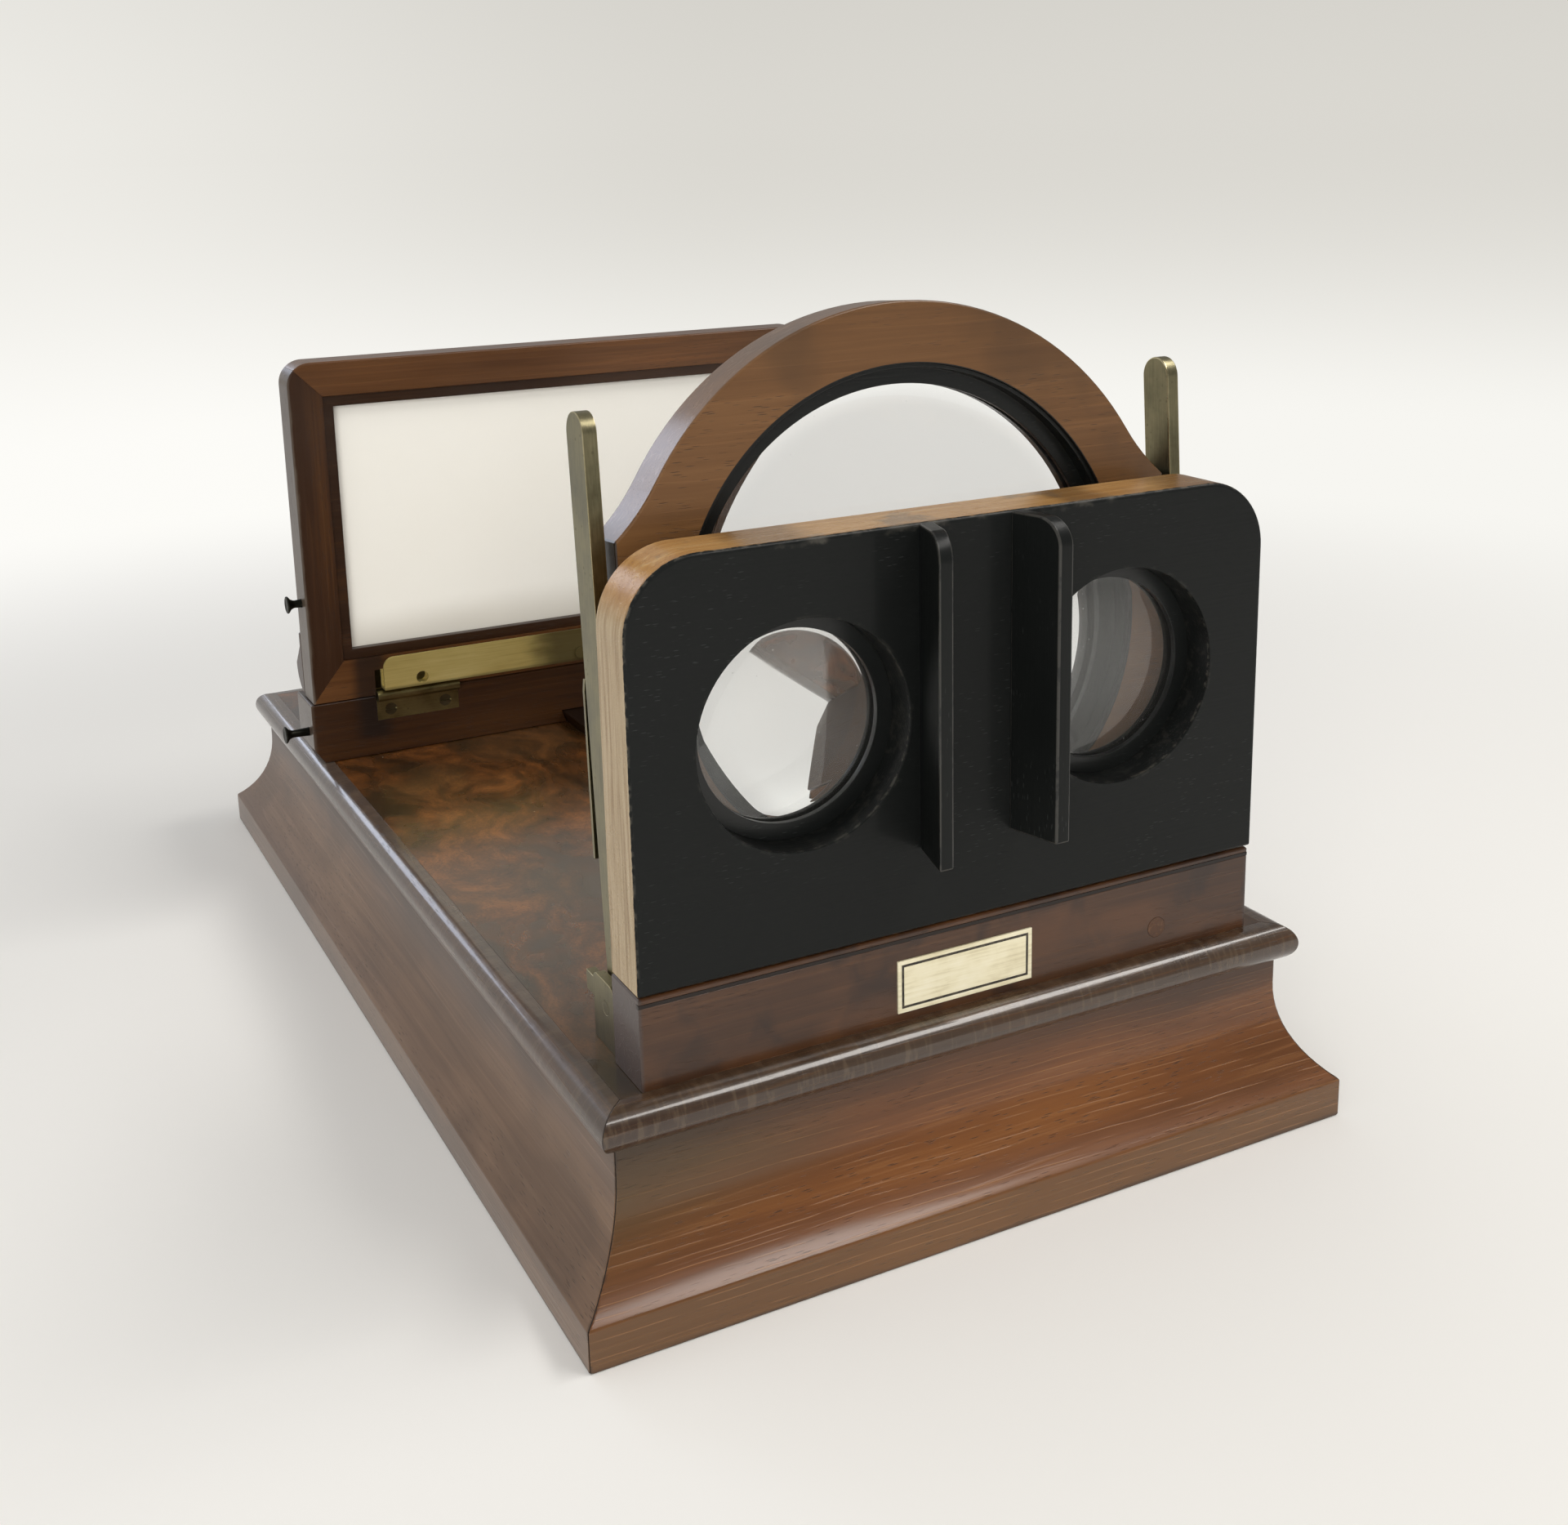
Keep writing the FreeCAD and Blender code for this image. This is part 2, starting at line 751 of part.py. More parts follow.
def hinge_leaf_solid(kept, low, high, screws):
    step = hinge_length / knuckle_count
    inner = hinge_outer_edge - hinge_length
    leaf = box(inner, hinge_outer_edge, carriage_place, carriage_place + hinge_leaf, low, high)
    for start in knuckle_slots(1 - kept):
        gap = hinge_barrel(start - knuckle_end_gap, step + 2 * knuckle_end_gap, knuckle_radius + knuckle_groove_gap)
        leaf = leaf.cut(gap)
    for start in knuckle_slots(kept):
        leaf = leaf.fuse(hinge_barrel(start, step, knuckle_radius))
    bore_gap = hinge_pin_clearance if kept == 1 else 0.0
    leaf = leaf.removeSplitter().cut(hinge_barrel(inner, hinge_length, hinge_pin_radius + bore_gap))
    return leaf.cut(screws + ledge_screw_list())


def lower_hinge_leaf():
    return hinge_leaf_solid(0, hinge_z - hinge_lower_height, hinge_z, lower_screw_list())


def upper_hinge_leaf():
    return hinge_leaf_solid(1, hinge_z, hinge_z + hinge_upper_height, upper_screw_list())


def hinge_mortise(low, high):
    inner = hinge_outer_edge - hinge_length
    pocket = box(inner, hinge_outer_edge, carriage_place, carriage_place + hinge_leaf, low, high)
    groove = hinge_barrel(inner - knuckle_end_gap, hinge_length + 2 * knuckle_end_gap,
                          knuckle_radius + knuckle_groove_gap)
    right = pocket.fuse(groove)
    return [right, mirrored_x(right)]


def catch_pin(face_x, y, z, reach):
    shank_length = catch_seat + reach - catch_head_height
    shank = rod_along(V(-1, 0, 0), catch_shank_radius, V(face_x + catch_seat, y, z), shank_length)
    head = Part.makeCone(catch_shank_radius, catch_head_radius, catch_head_height,
                         V(face_x - reach + catch_head_height, y, z), V(-1, 0, 0))
    return shank.fuse(head).removeSplitter()


def carriage_pin():
    return catch_pin(-carriage_length / 2, carriage_place + screen_thickness / 2,
                     carriage_bottom + carriage_catch_lift, carriage_catch_reach)


def screen_pin():
    return catch_pin(-screen_width / 2, carriage_place + screen_thickness / 2,
                     screen_bottom + screen_catch_lift, screen_catch_reach)


def both_sides(shapes):
    return shapes + [mirrored_x(one) for one in shapes]


def carriage_rail():
    half = carriage_length / 2
    low = carriage_bottom
    points = [V(-half, carriage_place, carriage_top), V(-half, carriage_place, low + carriage_end_rise)]
    points += [V(-half + carriage_end_cut, carriage_place, low), V(half - carriage_end_cut, carriage_place, low)]
    points += [V(half, carriage_place, low + carriage_end_rise), V(half, carriage_place, carriage_top)]
    rail = prism(points, V(0, carriage_depth, 0))
    rail = round_rims(rail, wood_round, V(0, 0, 1), [carriage_top])
    groove = runner_solid(runner_clearance)
    groove.translate(V(0, carriage_place - carriage_depth - runner_start, 0))
    rail = rail.cut(groove)
    rail = rail.cut(hinge_mortise(hinge_z - hinge_lower_height, carriage_top))
    rail = rail.cut(both_sides(lower_screw_list()))
    return rail.cut(carriage_pin())


def hinge_pins():
    pin = hinge_barrel(hinge_outer_edge - hinge_length, hinge_length, hinge_pin_radius)
    return Part.makeCompound([pin, mirrored_x(pin)])


def hinge_screws(screws, height):
    x_places = [hinge_middle + hinge_length * side for side in (-hinge_screw_share, hinge_screw_share)]
    right = [slotted(one, V(x, carriage_place, height), V(0, 1, 0), V(1, 0, 0), small_head_radius)
             for one, x in zip(screws, x_places)]
    return Part.makeCompound(both_sides(right))


def make_carriage():
    save("carriage_rail", carriage_rail())
    save("carriage_catch_pin", carriage_pin())
    save_pair("lower_hinge_leaf", lower_hinge_leaf())
    save("hinge_pins", hinge_pins())
    low = hinge_z - (hinge_lower_height + knuckle_radius) / 2
    save("lower_hinge_screws", hinge_screws(lower_screw_list(), low))


# Screen

def screen_blank():
    half = screen_width / 2
    blank = box(-half, half, carriage_place, screen_rear, screen_bottom, screen_top)
    blank = round_corners(blank, screen_corner, V(0, 1, 0), screen_top)
    rims = (carriage_place, screen_rear)
    return soften(blank, wood_round,
                  lambda edge: any(in_plane(edge, V(0, 1, 0), rim) for rim in rims)
                  and not in_plane(edge, V(0, 0, 1), screen_bottom))


def opening_box(grow, front, rear):
    half = screen_width / 2 - stile_width + grow
    low = screen_bottom + bottom_rail_width - grow
    high = screen_top - top_rail_width + grow
    return box(-half, half, front, rear, low, high)


def screen_frame():
    frame = screen_blank().cut(opening_box(0.0, carriage_place, screen_rear))
    frame = frame.cut(opening_box(rebate_width, carriage_place + rebate_depth, screen_rear))
    frame = frame.cut(hinge_mortise(screen_bottom, hinge_z + hinge_upper_height))
    frame = frame.cut(both_sides(upper_screw_list()) + ledge_screw_list())
    return frame.cut(screen_pin())


def frame_member(outer_a, outer_b, inner_b, inner_a):
    points = [V(x, carriage_place, z) for x, z in (outer_a, outer_b, inner_b, inner_a)]
    return screen_frame().common(prism(points, V(0, screen_thickness, 0)))


def save_screen_frame():
    half = screen_width / 2
    inner = half - stile_width
    low = screen_bottom + bottom_rail_width
    high = screen_top - top_rail_width
    save("screen_rail_top", frame_member((-half, screen_top), (half, screen_top), (inner, high), (-inner, high)))
    save("screen_rail_bottom",
         frame_member((-half, screen_bottom), (half, screen_bottom), (inner, low), (-inner, low)))
    save("screen_stile_left", frame_member((-half, screen_bottom), (-half, screen_top), (-inner, high), (-inner, low)))
    save("screen_stile_right", frame_member((half, screen_bottom), (half, screen_top), (inner, high), (inner, low)))


def screen_bead():
    front = carriage_place + screen_bead_recess
    rear = carriage_place + rebate_depth
    outer = opening_box(0.0, front, rear)
    return outer.cut(opening_box(-screen_bead_width, front, rear))


def opal_panel():
    front = carriage_place + rebate_depth
    return opening_box(rebate_width - opal_clearance, front, front + opal_thickness)


def glazing_beads():
    front = carriage_place + rebate_depth + opal_thickness
    rear = front + glazing_depth
    ring = opening_box(rebate_width, front, rear).cut(opening_box(rebate_width - glazing_width, front, rear))
    half = screen_width / 2 - stile_width + rebate_width - glazing_width
    middle = ring.common(box(-half, half, front, rear, screen_bottom, screen_top))
    sides = ring.cut(box(-half, half, front, rear, screen_bottom, screen_top))
    return Part.makeCompound(middle.Solids + sides.Solids)


def ledge_screw_list():
    z = screen_bottom + ledge_lift + ledge_screw_lift
    face = carriage_place - ledge_sheet
    return [small_screw(V(side * ledge_screw_offset, face, z), V(0, 1, 0)) for side in (-1, 1)]


def card_ledge():
    # A sheet channel: web on the frame, floor, and the lip that holds the card.
    half = ledge_length / 2
    low = screen_bottom + ledge_lift
    high = low + ledge_height
    face = carriage_place
    lip_rear = face - ledge_reach + ledge_sheet
    web = box(-half, half, face - ledge_sheet, face, low, low + ledge_web_height)
    floor = box(-half, half, lip_rear, face, low, low + ledge_sheet)
    lip = box(-half, half, face - ledge_reach, lip_rear, low, high)
    lip = round_corners(lip, ledge_corner, V(0, 1, 0), high)
    ledge = web.fuse([floor, lip]).removeSplitter()
    z = low + ledge_screw_lift
    for side in (-1, 1):
        access = V(side * ledge_screw_offset, face - ledge_reach, z)
        ledge = ledge.cut(rod_along(V(0, 1, 0), small_head_radius, access, ledge_sheet))
    return ledge.cut(ledge_screw_list() + [rivet_shank()])


def rivet_shank():
    z = screen_bottom + ledge_lift + ledge_screw_lift
    start = V(ledge_rivet_offset, carriage_place - ledge_reach, z)
    return rod_along(V(0, 1, 0), small_shank_radius, start, ledge_reach)


def ledge_rivet():
    z = screen_bottom + ledge_lift + ledge_screw_lift
    centre = V(ledge_rivet_offset, carriage_place - ledge_reach, z)
    head = Part.makeCylinder(small_head_radius, small_shank_radius / 2, centre, V(0, -1, 0))
    return rivet_shank().fuse(head).removeSplitter()


def heel_cleat():
    # Side profile: a thin top, an ogee swelling to full reach, and a rounded heel.
    outer = screen_width / 2
    face = screen_rear
    low = screen_bottom + screen_gap
    top = low + cleat_height
    full = face + cleat_reach
    heel = low + cleat_reach
    edges = [Part.makeLine(V(outer, face, low), V(outer, face, top))]
    neck = V(outer, face + cleat_reach / 4, top)
    waist = V(outer, face + cleat_reach / 4, top - cleat_reach / 2)
    edges.append(Part.makeLine(V(outer, face, top), neck))
    edges.append(Part.makeLine(neck, waist))
    edges.append(Part.makeLine(waist, V(outer, full, heel)))
    lean = cleat_reach * math.sqrt(0.5)
    middle = V(outer, face + lean, heel - lean)
    edges.append(Part.Arc(V(outer, full, heel), middle, V(outer, face, low)).toShape())
    return face_of(edges).extrude(V(-cleat_width, 0, 0))


def heel_cleats():
    cleat = heel_cleat()
    return Part.makeCompound([cleat, mirrored_x(cleat)])


def make_screen():
    save_screen_frame()
    save("screen_bead", screen_bead())
    save("opal_panel", opal_panel())
    save("glazing_beads", glazing_beads())
    save_pair("upper_hinge_leaf", upper_hinge_leaf())
    high = hinge_z + (hinge_upper_height + knuckle_radius) / 2
    save("upper_hinge_screws", hinge_screws(upper_screw_list(), high))
    save("card_ledge", card_ledge())
    save("ledge_screws", Part.makeCompound(ledge_screw_list()))
    save("ledge_rivet", ledge_rivet())
    save("heel_cleats", heel_cleats())
    save("screen_catch_pin", screen_pin())


make_base()
make_stereo_board()
make_stand()
make_magnifier()
make_carriage()
make_screen()
print("written", len(os.listdir("parts")), "parts")
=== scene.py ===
import json
import math
import bpy
import bmesh
from mathutils import Matrix, Vector


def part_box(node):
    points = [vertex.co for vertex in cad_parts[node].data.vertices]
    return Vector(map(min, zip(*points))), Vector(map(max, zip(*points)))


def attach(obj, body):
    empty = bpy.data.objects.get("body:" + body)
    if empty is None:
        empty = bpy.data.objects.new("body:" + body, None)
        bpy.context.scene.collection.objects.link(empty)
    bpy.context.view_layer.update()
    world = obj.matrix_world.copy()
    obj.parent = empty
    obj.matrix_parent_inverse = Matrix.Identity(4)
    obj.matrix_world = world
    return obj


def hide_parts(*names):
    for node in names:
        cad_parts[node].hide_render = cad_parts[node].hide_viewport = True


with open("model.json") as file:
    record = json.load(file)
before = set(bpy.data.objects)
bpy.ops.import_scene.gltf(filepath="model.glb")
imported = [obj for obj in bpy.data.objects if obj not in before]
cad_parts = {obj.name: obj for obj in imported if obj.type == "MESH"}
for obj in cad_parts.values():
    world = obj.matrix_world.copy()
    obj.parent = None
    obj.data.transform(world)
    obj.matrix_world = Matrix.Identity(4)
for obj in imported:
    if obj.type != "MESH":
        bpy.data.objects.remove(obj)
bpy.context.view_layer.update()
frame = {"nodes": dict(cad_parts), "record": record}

nodes = frame["nodes"]
scene = bpy.context.scene
scene.view_settings.view_transform = "Standard"
print("stage: frame loaded,", len(nodes), "nodes")


# Camera: where the photographer stood, in metres and degrees
cameraView = {
    "place": (-0.2004, -0.4626, 0.2347),
    "azimuth": -27.19,
    "elevation": 13.18,
    "roll": -1.29,
    "lens": 41.31,
    "shiftUp": -0.130,
}


def addCamera(view):
    turn = math.radians(view["azimuth"])
    rise = math.radians(view["elevation"])
    roll = math.radians(view["roll"])
    ahead = Vector((-math.sin(turn) * math.cos(rise), math.cos(turn) * math.cos(rise), -math.sin(rise)))
    right = ahead.cross(Vector((0, 0, 1))).normalized()
    up = right.cross(ahead)
    rolledRight = right * math.cos(roll) + up * math.sin(roll)
    rolledUp = up * math.cos(roll) - right * math.sin(roll)
    place = Matrix((rolledRight, rolledUp, -ahead)).transposed().to_4x4()
    place.translation = Vector(view["place"])
    bpy.ops.object.camera_add()
    camera = bpy.context.object
    camera.name = "photoCamera"
    camera.matrix_world = place
    camera.data.lens = view["lens"]
    camera.data.sensor_width = 36.0
    camera.data.sensor_fit = "HORIZONTAL"
    camera.data.shift_x = 0.0
    camera.data.shift_y = view["shiftUp"]
    camera.data.clip_start = 0.01
    camera.data.clip_end = 50.0
    scene.camera = camera


bpy.ops.object.select_all(action="DESELECT")
addCamera(cameraView)


# Materials

class Wire:
    # one socket of a material; sums on it add Math nodes
    def __init__(self, paint, socket):
        self.paint = paint
        self.socket = socket

    def sum(self, kind, first, second):
        return self.paint.node("ShaderNodeMath", {"operation": kind}, {0: first, 1: second})

    def __add__(self, other):
        return self.sum("ADD", self, other)

    def __radd__(self, other):
        return self.sum("ADD", other, self)

    def __sub__(self, other):
        return self.sum("SUBTRACT", self, other)

    def __rsub__(self, other):
        return self.sum("SUBTRACT", other, self)

    def __mul__(self, other):
        return self.sum("MULTIPLY", self, other)

    def __rmul__(self, other):
        return self.sum("MULTIPLY", other, self)

    def __truediv__(self, other):
        return self.sum("DIVIDE", self, other)

    def __rtruediv__(self, other):
        return self.sum("DIVIDE", other, self)

    def __pow__(self, other):
        return self.sum("POWER", self, other)

    def __abs__(self):
        return self.paint.node("ShaderNodeMath", {"operation": "ABSOLUTE"}, {0: self})


class Paint:
    # a material being mixed, one node at a time; with a tree given, the world instead
    def __init__(self, name, tree=None):
        self.material = None
        self.tree = tree
        if tree is None:
            self.material = bpy.data.materials.new(name)
            self.material.use_nodes = True
            self.tree = self.material.node_tree
        self.tree.nodes.clear()

    def node(self, kind, settings=None, sockets=None, out=0):
        made = self.tree.nodes.new(kind)
        for key, value in (settings or {}).items():
            if key == "stops":
                self.setStops(made.color_ramp, value)
            else:
                setattr(made, key, value)
        for key, value in (sockets or {}).items():
            if isinstance(value, Wire):
                self.tree.links.new(value.socket, made.inputs[key])
            else:
                made.inputs[key].default_value = value
        return Wire(self, made.outputs[out]) if len(made.outputs) else None

    def setStops(self, ramp, stops):
        while len(ramp.elements) < len(stops):
            ramp.elements.new(0.5)
        for element, (place, colour) in zip(ramp.elements, stops):
            element.position = place
            element.color = (*colour, 1.0)

    def point(self):
        return self.node("ShaderNodeTexCoord", out="Object")

    def split(self, vector):
        made = self.node("ShaderNodeSeparateXYZ", None, {0: vector})
        return [Wire(self, socket) for socket in made.socket.node.outputs]

    def stretch(self, vector, scale, offset=(0.0, 0.0, 0.0)):
        return self.node("ShaderNodeMapping", None, {"Vector": vector, "Scale": scale, "Location": offset})

    def noise(self, vector, detail=2.0, rough=0.5, out="Fac"):
        sockets = {"Vector": vector, "Scale": 1.0, "Detail": detail, "Roughness": rough}
        return self.node("ShaderNodeTexNoise", None, sockets, out)

    def cells(self, vector):
        # distance to the nearest of a scatter of points
        return self.node("ShaderNodeTexVoronoi", {"feature": "F1"},
                         {"Vector": vector, "Scale": 1.0, "Randomness": 1.0}, "Distance")

    def warp(self, vector, scale, amount, detail=2.0):
        # pushes a point about by a coarse noise, amount in metres
        colour = self.noise(self.stretch(vector, scale), detail, 0.5, "Color")
        push = self.node("ShaderNodeVectorMath", {"operation": "SUBTRACT"}, {0: colour, 1: (0.5, 0.5, 0.5)})
        push = self.node("ShaderNodeVectorMath", {"operation": "SCALE"}, {0: push, "Scale": amount})
        return self.node("ShaderNodeVectorMath", {"operation": "ADD"}, {0: vector, 1: push})

    def fade(self, value, low, high):
        # 0 below low, 1 above high, smooth between; low may be the larger
        return self.node("ShaderNodeMapRange", {"interpolation_type": "SMOOTHSTEP"},
                         {0: value, 1: low, 2: high, 3: 0.0, 4: 1.0})

    def band(self, value, middle, half, soft):
        # 1 where value lies within half of middle
        return self.fade(abs(value - middle), half + soft, half)

    def ramp(self, value, stops):
        return self.node("ShaderNodeValToRGB", {"stops": stops}, {"Fac": value})

    def blend(self, mask, first, second, kind="MIX"):
        colours = {0: mask}
        for index, colour in ((6, first), (7, second)):
            colours[index] = colour if isinstance(colour, Wire) else (*colour, 1.0)
        return self.node("ShaderNodeMix", {"data_type": "RGBA", "blend_type": kind}, colours, 2)

    def close(self, colour, rough, height, depth, strength, **constants):
        # ends the material; depth is the bump's, in metres
        bump = self.node("ShaderNodeBump", None, {"Height": height, "Distance": depth, "Strength": strength})
        sockets = {"Base Color": colour, "Roughness": rough, "Normal": bump}
        names = {"metallic": "Metallic", "coat": "Coat Weight", "coatRough": "Coat Roughness",
                 "specular": "Specular IOR Level", "sheen": "Sheen Weight", "sheenRough": "Sheen Roughness"}
        for key, value in constants.items():
            sockets[names[key]] = value
        shader = self.node("ShaderNodeBsdfPrincipled", None, sockets, "BSDF")
        self.node("ShaderNodeOutputMaterial", None, {"Surface": shader})
        return self.material


grainScales = {"x": (1, 0, 0), "y": (0, 1, 0), "z": (0, 0, 1)}


def alongGrain(direction, along, across):
    return tuple(along if part else across for part in grainScales[direction])


def woodLayers(paint, point, direction, wood):
    # colour, roughness and height of a polished straight-grained wood
    bent = paint.warp(point, alongGrain(direction, 5.0, 26.0), wood["waver"])
    figure = paint.noise(paint.stretch(bent, alongGrain(direction, 7.0, 90.0)), 3.0, 0.6)
    streak = paint.noise(paint.stretch(bent, alongGrain(direction, 20.0, 900.0)), 3.0, 0.6)
    cloud = paint.noise(paint.stretch(point, alongGrain(direction, 16.0, 20.0), (0.31, 0.17, 0.53)), 2.0)
    tone = figure * 0.45 + streak * 0.25 + cloud * 0.30
    colour = paint.ramp(tone, [(0.34, wood["dark"]), (0.5, wood["mid"]), (0.66, wood["light"])])
    ridgePoint = paint.stretch(bent, alongGrain(direction, 9.0, wood["ridge"]), (0.1, 0.8, 0.4))
    ridge = paint.noise(ridgePoint, 0.0, 0.3)
    ridges = paint.band(ridge, 0.5, 0.010, 0.030) * paint.fade(streak, 0.40, 0.60)
    colour = paint.blend(ridges * wood["fleckDepth"], colour, wood["fleck"])
    spot = paint.cells(paint.stretch(bent, alongGrain(direction, wood["poreLong"], 2300.0)))
    pores = paint.fade(spot, 0.26, 0.12) * paint.fade(figure, 0.38, 0.56)
    colour = paint.blend(pores * wood["poreDepth"], colour, wood["pore"])
    rough = wood["rough"] + pores * 0.15 + (cloud - 0.5) * 0.14 - ridges * 0.06
    height = streak * 0.3 - pores + ridges * 0.35
    return colour, rough, height


walnut = {
    "dark": (0.082, 0.029, 0.008),
    "mid": (0.165, 0.058, 0.015),
    "light": (0.245, 0.095, 0.026),
    "pore": (0.022, 0.010, 0.005),
    "poreDepth": 0.7,
    "poreLong": 170.0,
    "fleck": (0.36, 0.17, 0.065),
    "fleckDepth": 0.5,
    "ridge": 430.0,
    "waver": 0.004,
    "rough": 0.40,
}


def shade(wood, amount, **changes):
    # the same wood, darker or lighter, with changes by name
    made = dict(wood)
    for key in ("dark", "mid", "light", "fleck"):
        made[key] = tuple(part * amount for part in wood[key])
    made.update(changes)
    return made


def woodPaint(name, direction, wood, coat=0.25):
    paint = Paint(name)
    point = paint.point()
    colour, rough, height = woodLayers(paint, point, direction, wood)
    return paint.close(colour, rough, height, 0.00012, 0.6, coat=coat, coatRough=0.16, specular=0.3)


# Plinth: orange in the middle of the cove, olive at its top left and along the foot, with painted shade under
# the bead
plinth = {
    "halfWidth": 0.0975,
    "halfDepth": 0.1715,
    "footTop": 0.0095,
    "neckLow": 0.027,
    "neckHigh": 0.040,
    "jointHalf": 0.00010,
    "lineGap": 0.0021,
    "lineWide": (0.00018, 0.00003),
    "cornerX": (-0.020, -0.088),
    "cornerZ": (0.014, 0.029),
    "bottomDarkZ": (0.0014, 0.0003),
    "chipWide": (0.0010, 0.0002),
    "beadLitTop": (0.0462, 0.0479),
    "footSoft": 0.0012,
    "darkTone": (0.018, 0.011, 0.007),
    "worn": (0.30, 0.17, 0.08),
    "foot": (0.110, 0.062, 0.024),
    "olive": (0.062, 0.043, 0.018),
}


def mitre(paint, x, y):
    # distance from the corner joints, and 1 on them
    miss = abs((plinth["halfWidth"] - abs(x)) - (plinth["halfDepth"] - abs(y)))
    return miss, paint.fade(miss, plinth["jointHalf"] * 2.4, plinth["jointHalf"])


def mouldingPaint(name, direction, wood, coat, sheen, front):
    paint = Paint(name)
    point = paint.point()
    x, y, z = paint.split(point)
    colour, rough, height = woodLayers(paint, point, direction, wood)
    mottle = paint.noise(paint.stretch(point, alongGrain(direction, 60.0, 260.0)), 3.0, 0.6)
    patch = paint.noise(paint.stretch(point, alongGrain(direction, 22.0, 50.0), (0.4, 0.1, 0.7)), 2.0)
    foot = paint.fade(z + (mottle - 0.5) * 0.002, plinth["footTop"] + plinth["footSoft"],
                      plinth["footTop"] - plinth["footSoft"])
    colour = paint.blend(foot * (0.55 if front else 0.25), colour, plinth["foot"])
    if front:
        rise = z + x * 0.022 + y * 0.35 + (patch - 0.5) * 0.0022
        wave = paint.node("ShaderNodeMath", {"operation": "PINGPONG"}, {0: rise, 1: plinth["lineGap"] / 2.0})
        broken = paint.noise(paint.stretch(point, (38.0, 300.0, 420.0), (0.3, 0.2, 0.6)), 2.0, 0.6)
        lines = paint.fade(wave, *plinth["lineWide"]) * paint.fade(broken, 0.44, 0.56)
        colour = paint.blend(lines * 0.55, colour, wood["fleck"])
        height = height + lines * 0.6
        corner = paint.fade(x + (patch - 0.5) * 0.08, *plinth["cornerX"])
        high = paint.fade(z + (patch - 0.5) * 0.016, *plinth["cornerZ"])
        colour = paint.blend(corner * high * 0.75, colour, plinth["olive"])
    else:
        deep = tuple(part * 0.55 for part in wood["mid"])
        colour = paint.blend(paint.fade(patch, 0.44, 0.62) * 0.5, colour, deep)
    # painted shade under the overhanging bead, in the dark tone
    shadow = paint.fade(z + (patch - 0.5) * 0.012, plinth["neckLow"], plinth["neckHigh"])
    colour = paint.blend(shadow * 0.6, colour, plinth["darkTone"])
    # darker along the very bottom
    bottomDark = paint.fade(z + (mottle - 0.5) * 0.002, *plinth["bottomDarkZ"])
    colour = paint.blend(bottomDark * 0.6, colour, plinth["darkTone"])
    miss, joint = mitre(paint, x, y)
    chips = paint.fade(miss, *plinth["chipWide"]) * paint.fade(mottle, 0.54, 0.62)
    colour = paint.blend(chips * 0.5, colour, plinth["darkTone"])
    colour = paint.blend(joint * 0.85, colour, plinth["darkTone"])
    height = height - joint * 1.5 - chips * 0.5
    return paint.close(colour, rough, height, 0.00012, 0.6, coat=coat, coatRough=0.15, specular=0.3,
                       sheen=sheen, sheenRough=0.4)


def beadPaint(name, direction, wood, sheen, coat):
    # dark, with fine ribs across it that break up its highlight
    paint = Paint(name)
    point = paint.point()
    x, y, z = paint.split(point)
    colour, rough, height = woodLayers(paint, point, direction, wood)
    joint = mitre(paint, x, y)[1]
    mottle = paint.noise(paint.stretch(point, (240.0, 240.0, 240.0)), 3.0, 0.6)
    ribs = paint.noise(paint.stretch(point, alongGrain(direction, 900.0, 130.0)), 2.0, 0.6)
    colour = paint.blend(paint.fade(ribs, 0.5, 0.68) * 0.45, colour, (0.105, 0.070, 0.040))
    # lighter in patches along its top: a painted highlight
    top = paint.fade(z, *plinth["beadLitTop"]) * paint.fade(mottle, 0.40, 0.64)
    colour = paint.blend(top * 0.25, colour, (0.16, 0.095, 0.052))
    colour = paint.blend(joint * 0.85, colour, plinth["darkTone"])
    ripple = paint.noise(paint.stretch(point, alongGrain(direction, 300.0, 1500.0)), 2.0, 0.6)
    height = height + ripple * 0.9 + ribs * 0.5 - joint * 1.5
    return paint.close(colour, rough, height, 0.00008, 0.5, coat=coat, coatRough=0.09, specular=0.4,
                       sheen=sheen, sheenRough=0.4)


frontWood = shade(walnut, 0.84, dark=(0.088, 0.030, 0.007), light=(0.190, 0.070, 0.017), fleckDepth=0.18,
                  rough=0.33)
sideWood = shade(walnut, 0.62, dark=(0.072, 0.038, 0.020), mid=(0.135, 0.076, 0.042),
                 light=(0.190, 0.115, 0.068), fleckDepth=0.12, rough=0.56)
beadWood = shade(walnut, 0.30, mid=(0.046, 0.026, 0.014), poreDepth=0.8, fleckDepth=0.3, rough=0.30)
railWood = shade(walnut, 0.48, dark=(0.027, 0.011, 0.005), mid=(0.056, 0.023, 0.009),
                 light=(0.088, 0.036, 0.013), fleckDepth=0.08, rough=0.34)
archWood = shade(walnut, 0.78, dark=(0.088, 0.040, 0.014), mid=(0.125, 0.058, 0.020),
                 light=(0.165, 0.080, 0.029), fleckDepth=0.15, rough=0.42)
screenWood = shade(walnut, 0.28, mid=(0.034, 0.014, 0.006), fleckDepth=0.1, rough=0.38)
screenTopWood = shade(walnut, 0.66, mid=(0.098, 0.040, 0.013), fleckDepth=0.1, rough=0.38)
carriageWood = shade(walnut, 0.24, mid=(0.030, 0.012, 0.005), fleckDepth=0.08, rough=0.36)
goldWood = shade(walnut, 1.0, dark=(0.26, 0.120, 0.036), mid=(0.39, 0.205, 0.068), light=(0.52, 0.31, 0.12),
                 fleck=(0.62, 0.45, 0.23), fleckDepth=0.25, poreDepth=0.25, rough=0.27)
pineWood = shade(walnut, 1.0, dark=(0.30, 0.19, 0.09), mid=(0.42, 0.28, 0.14), light=(0.52, 0.36, 0.20),
                 pore=(0.20, 0.11, 0.05), poreDepth=0.3, fleckDepth=0.1, rough=0.62)


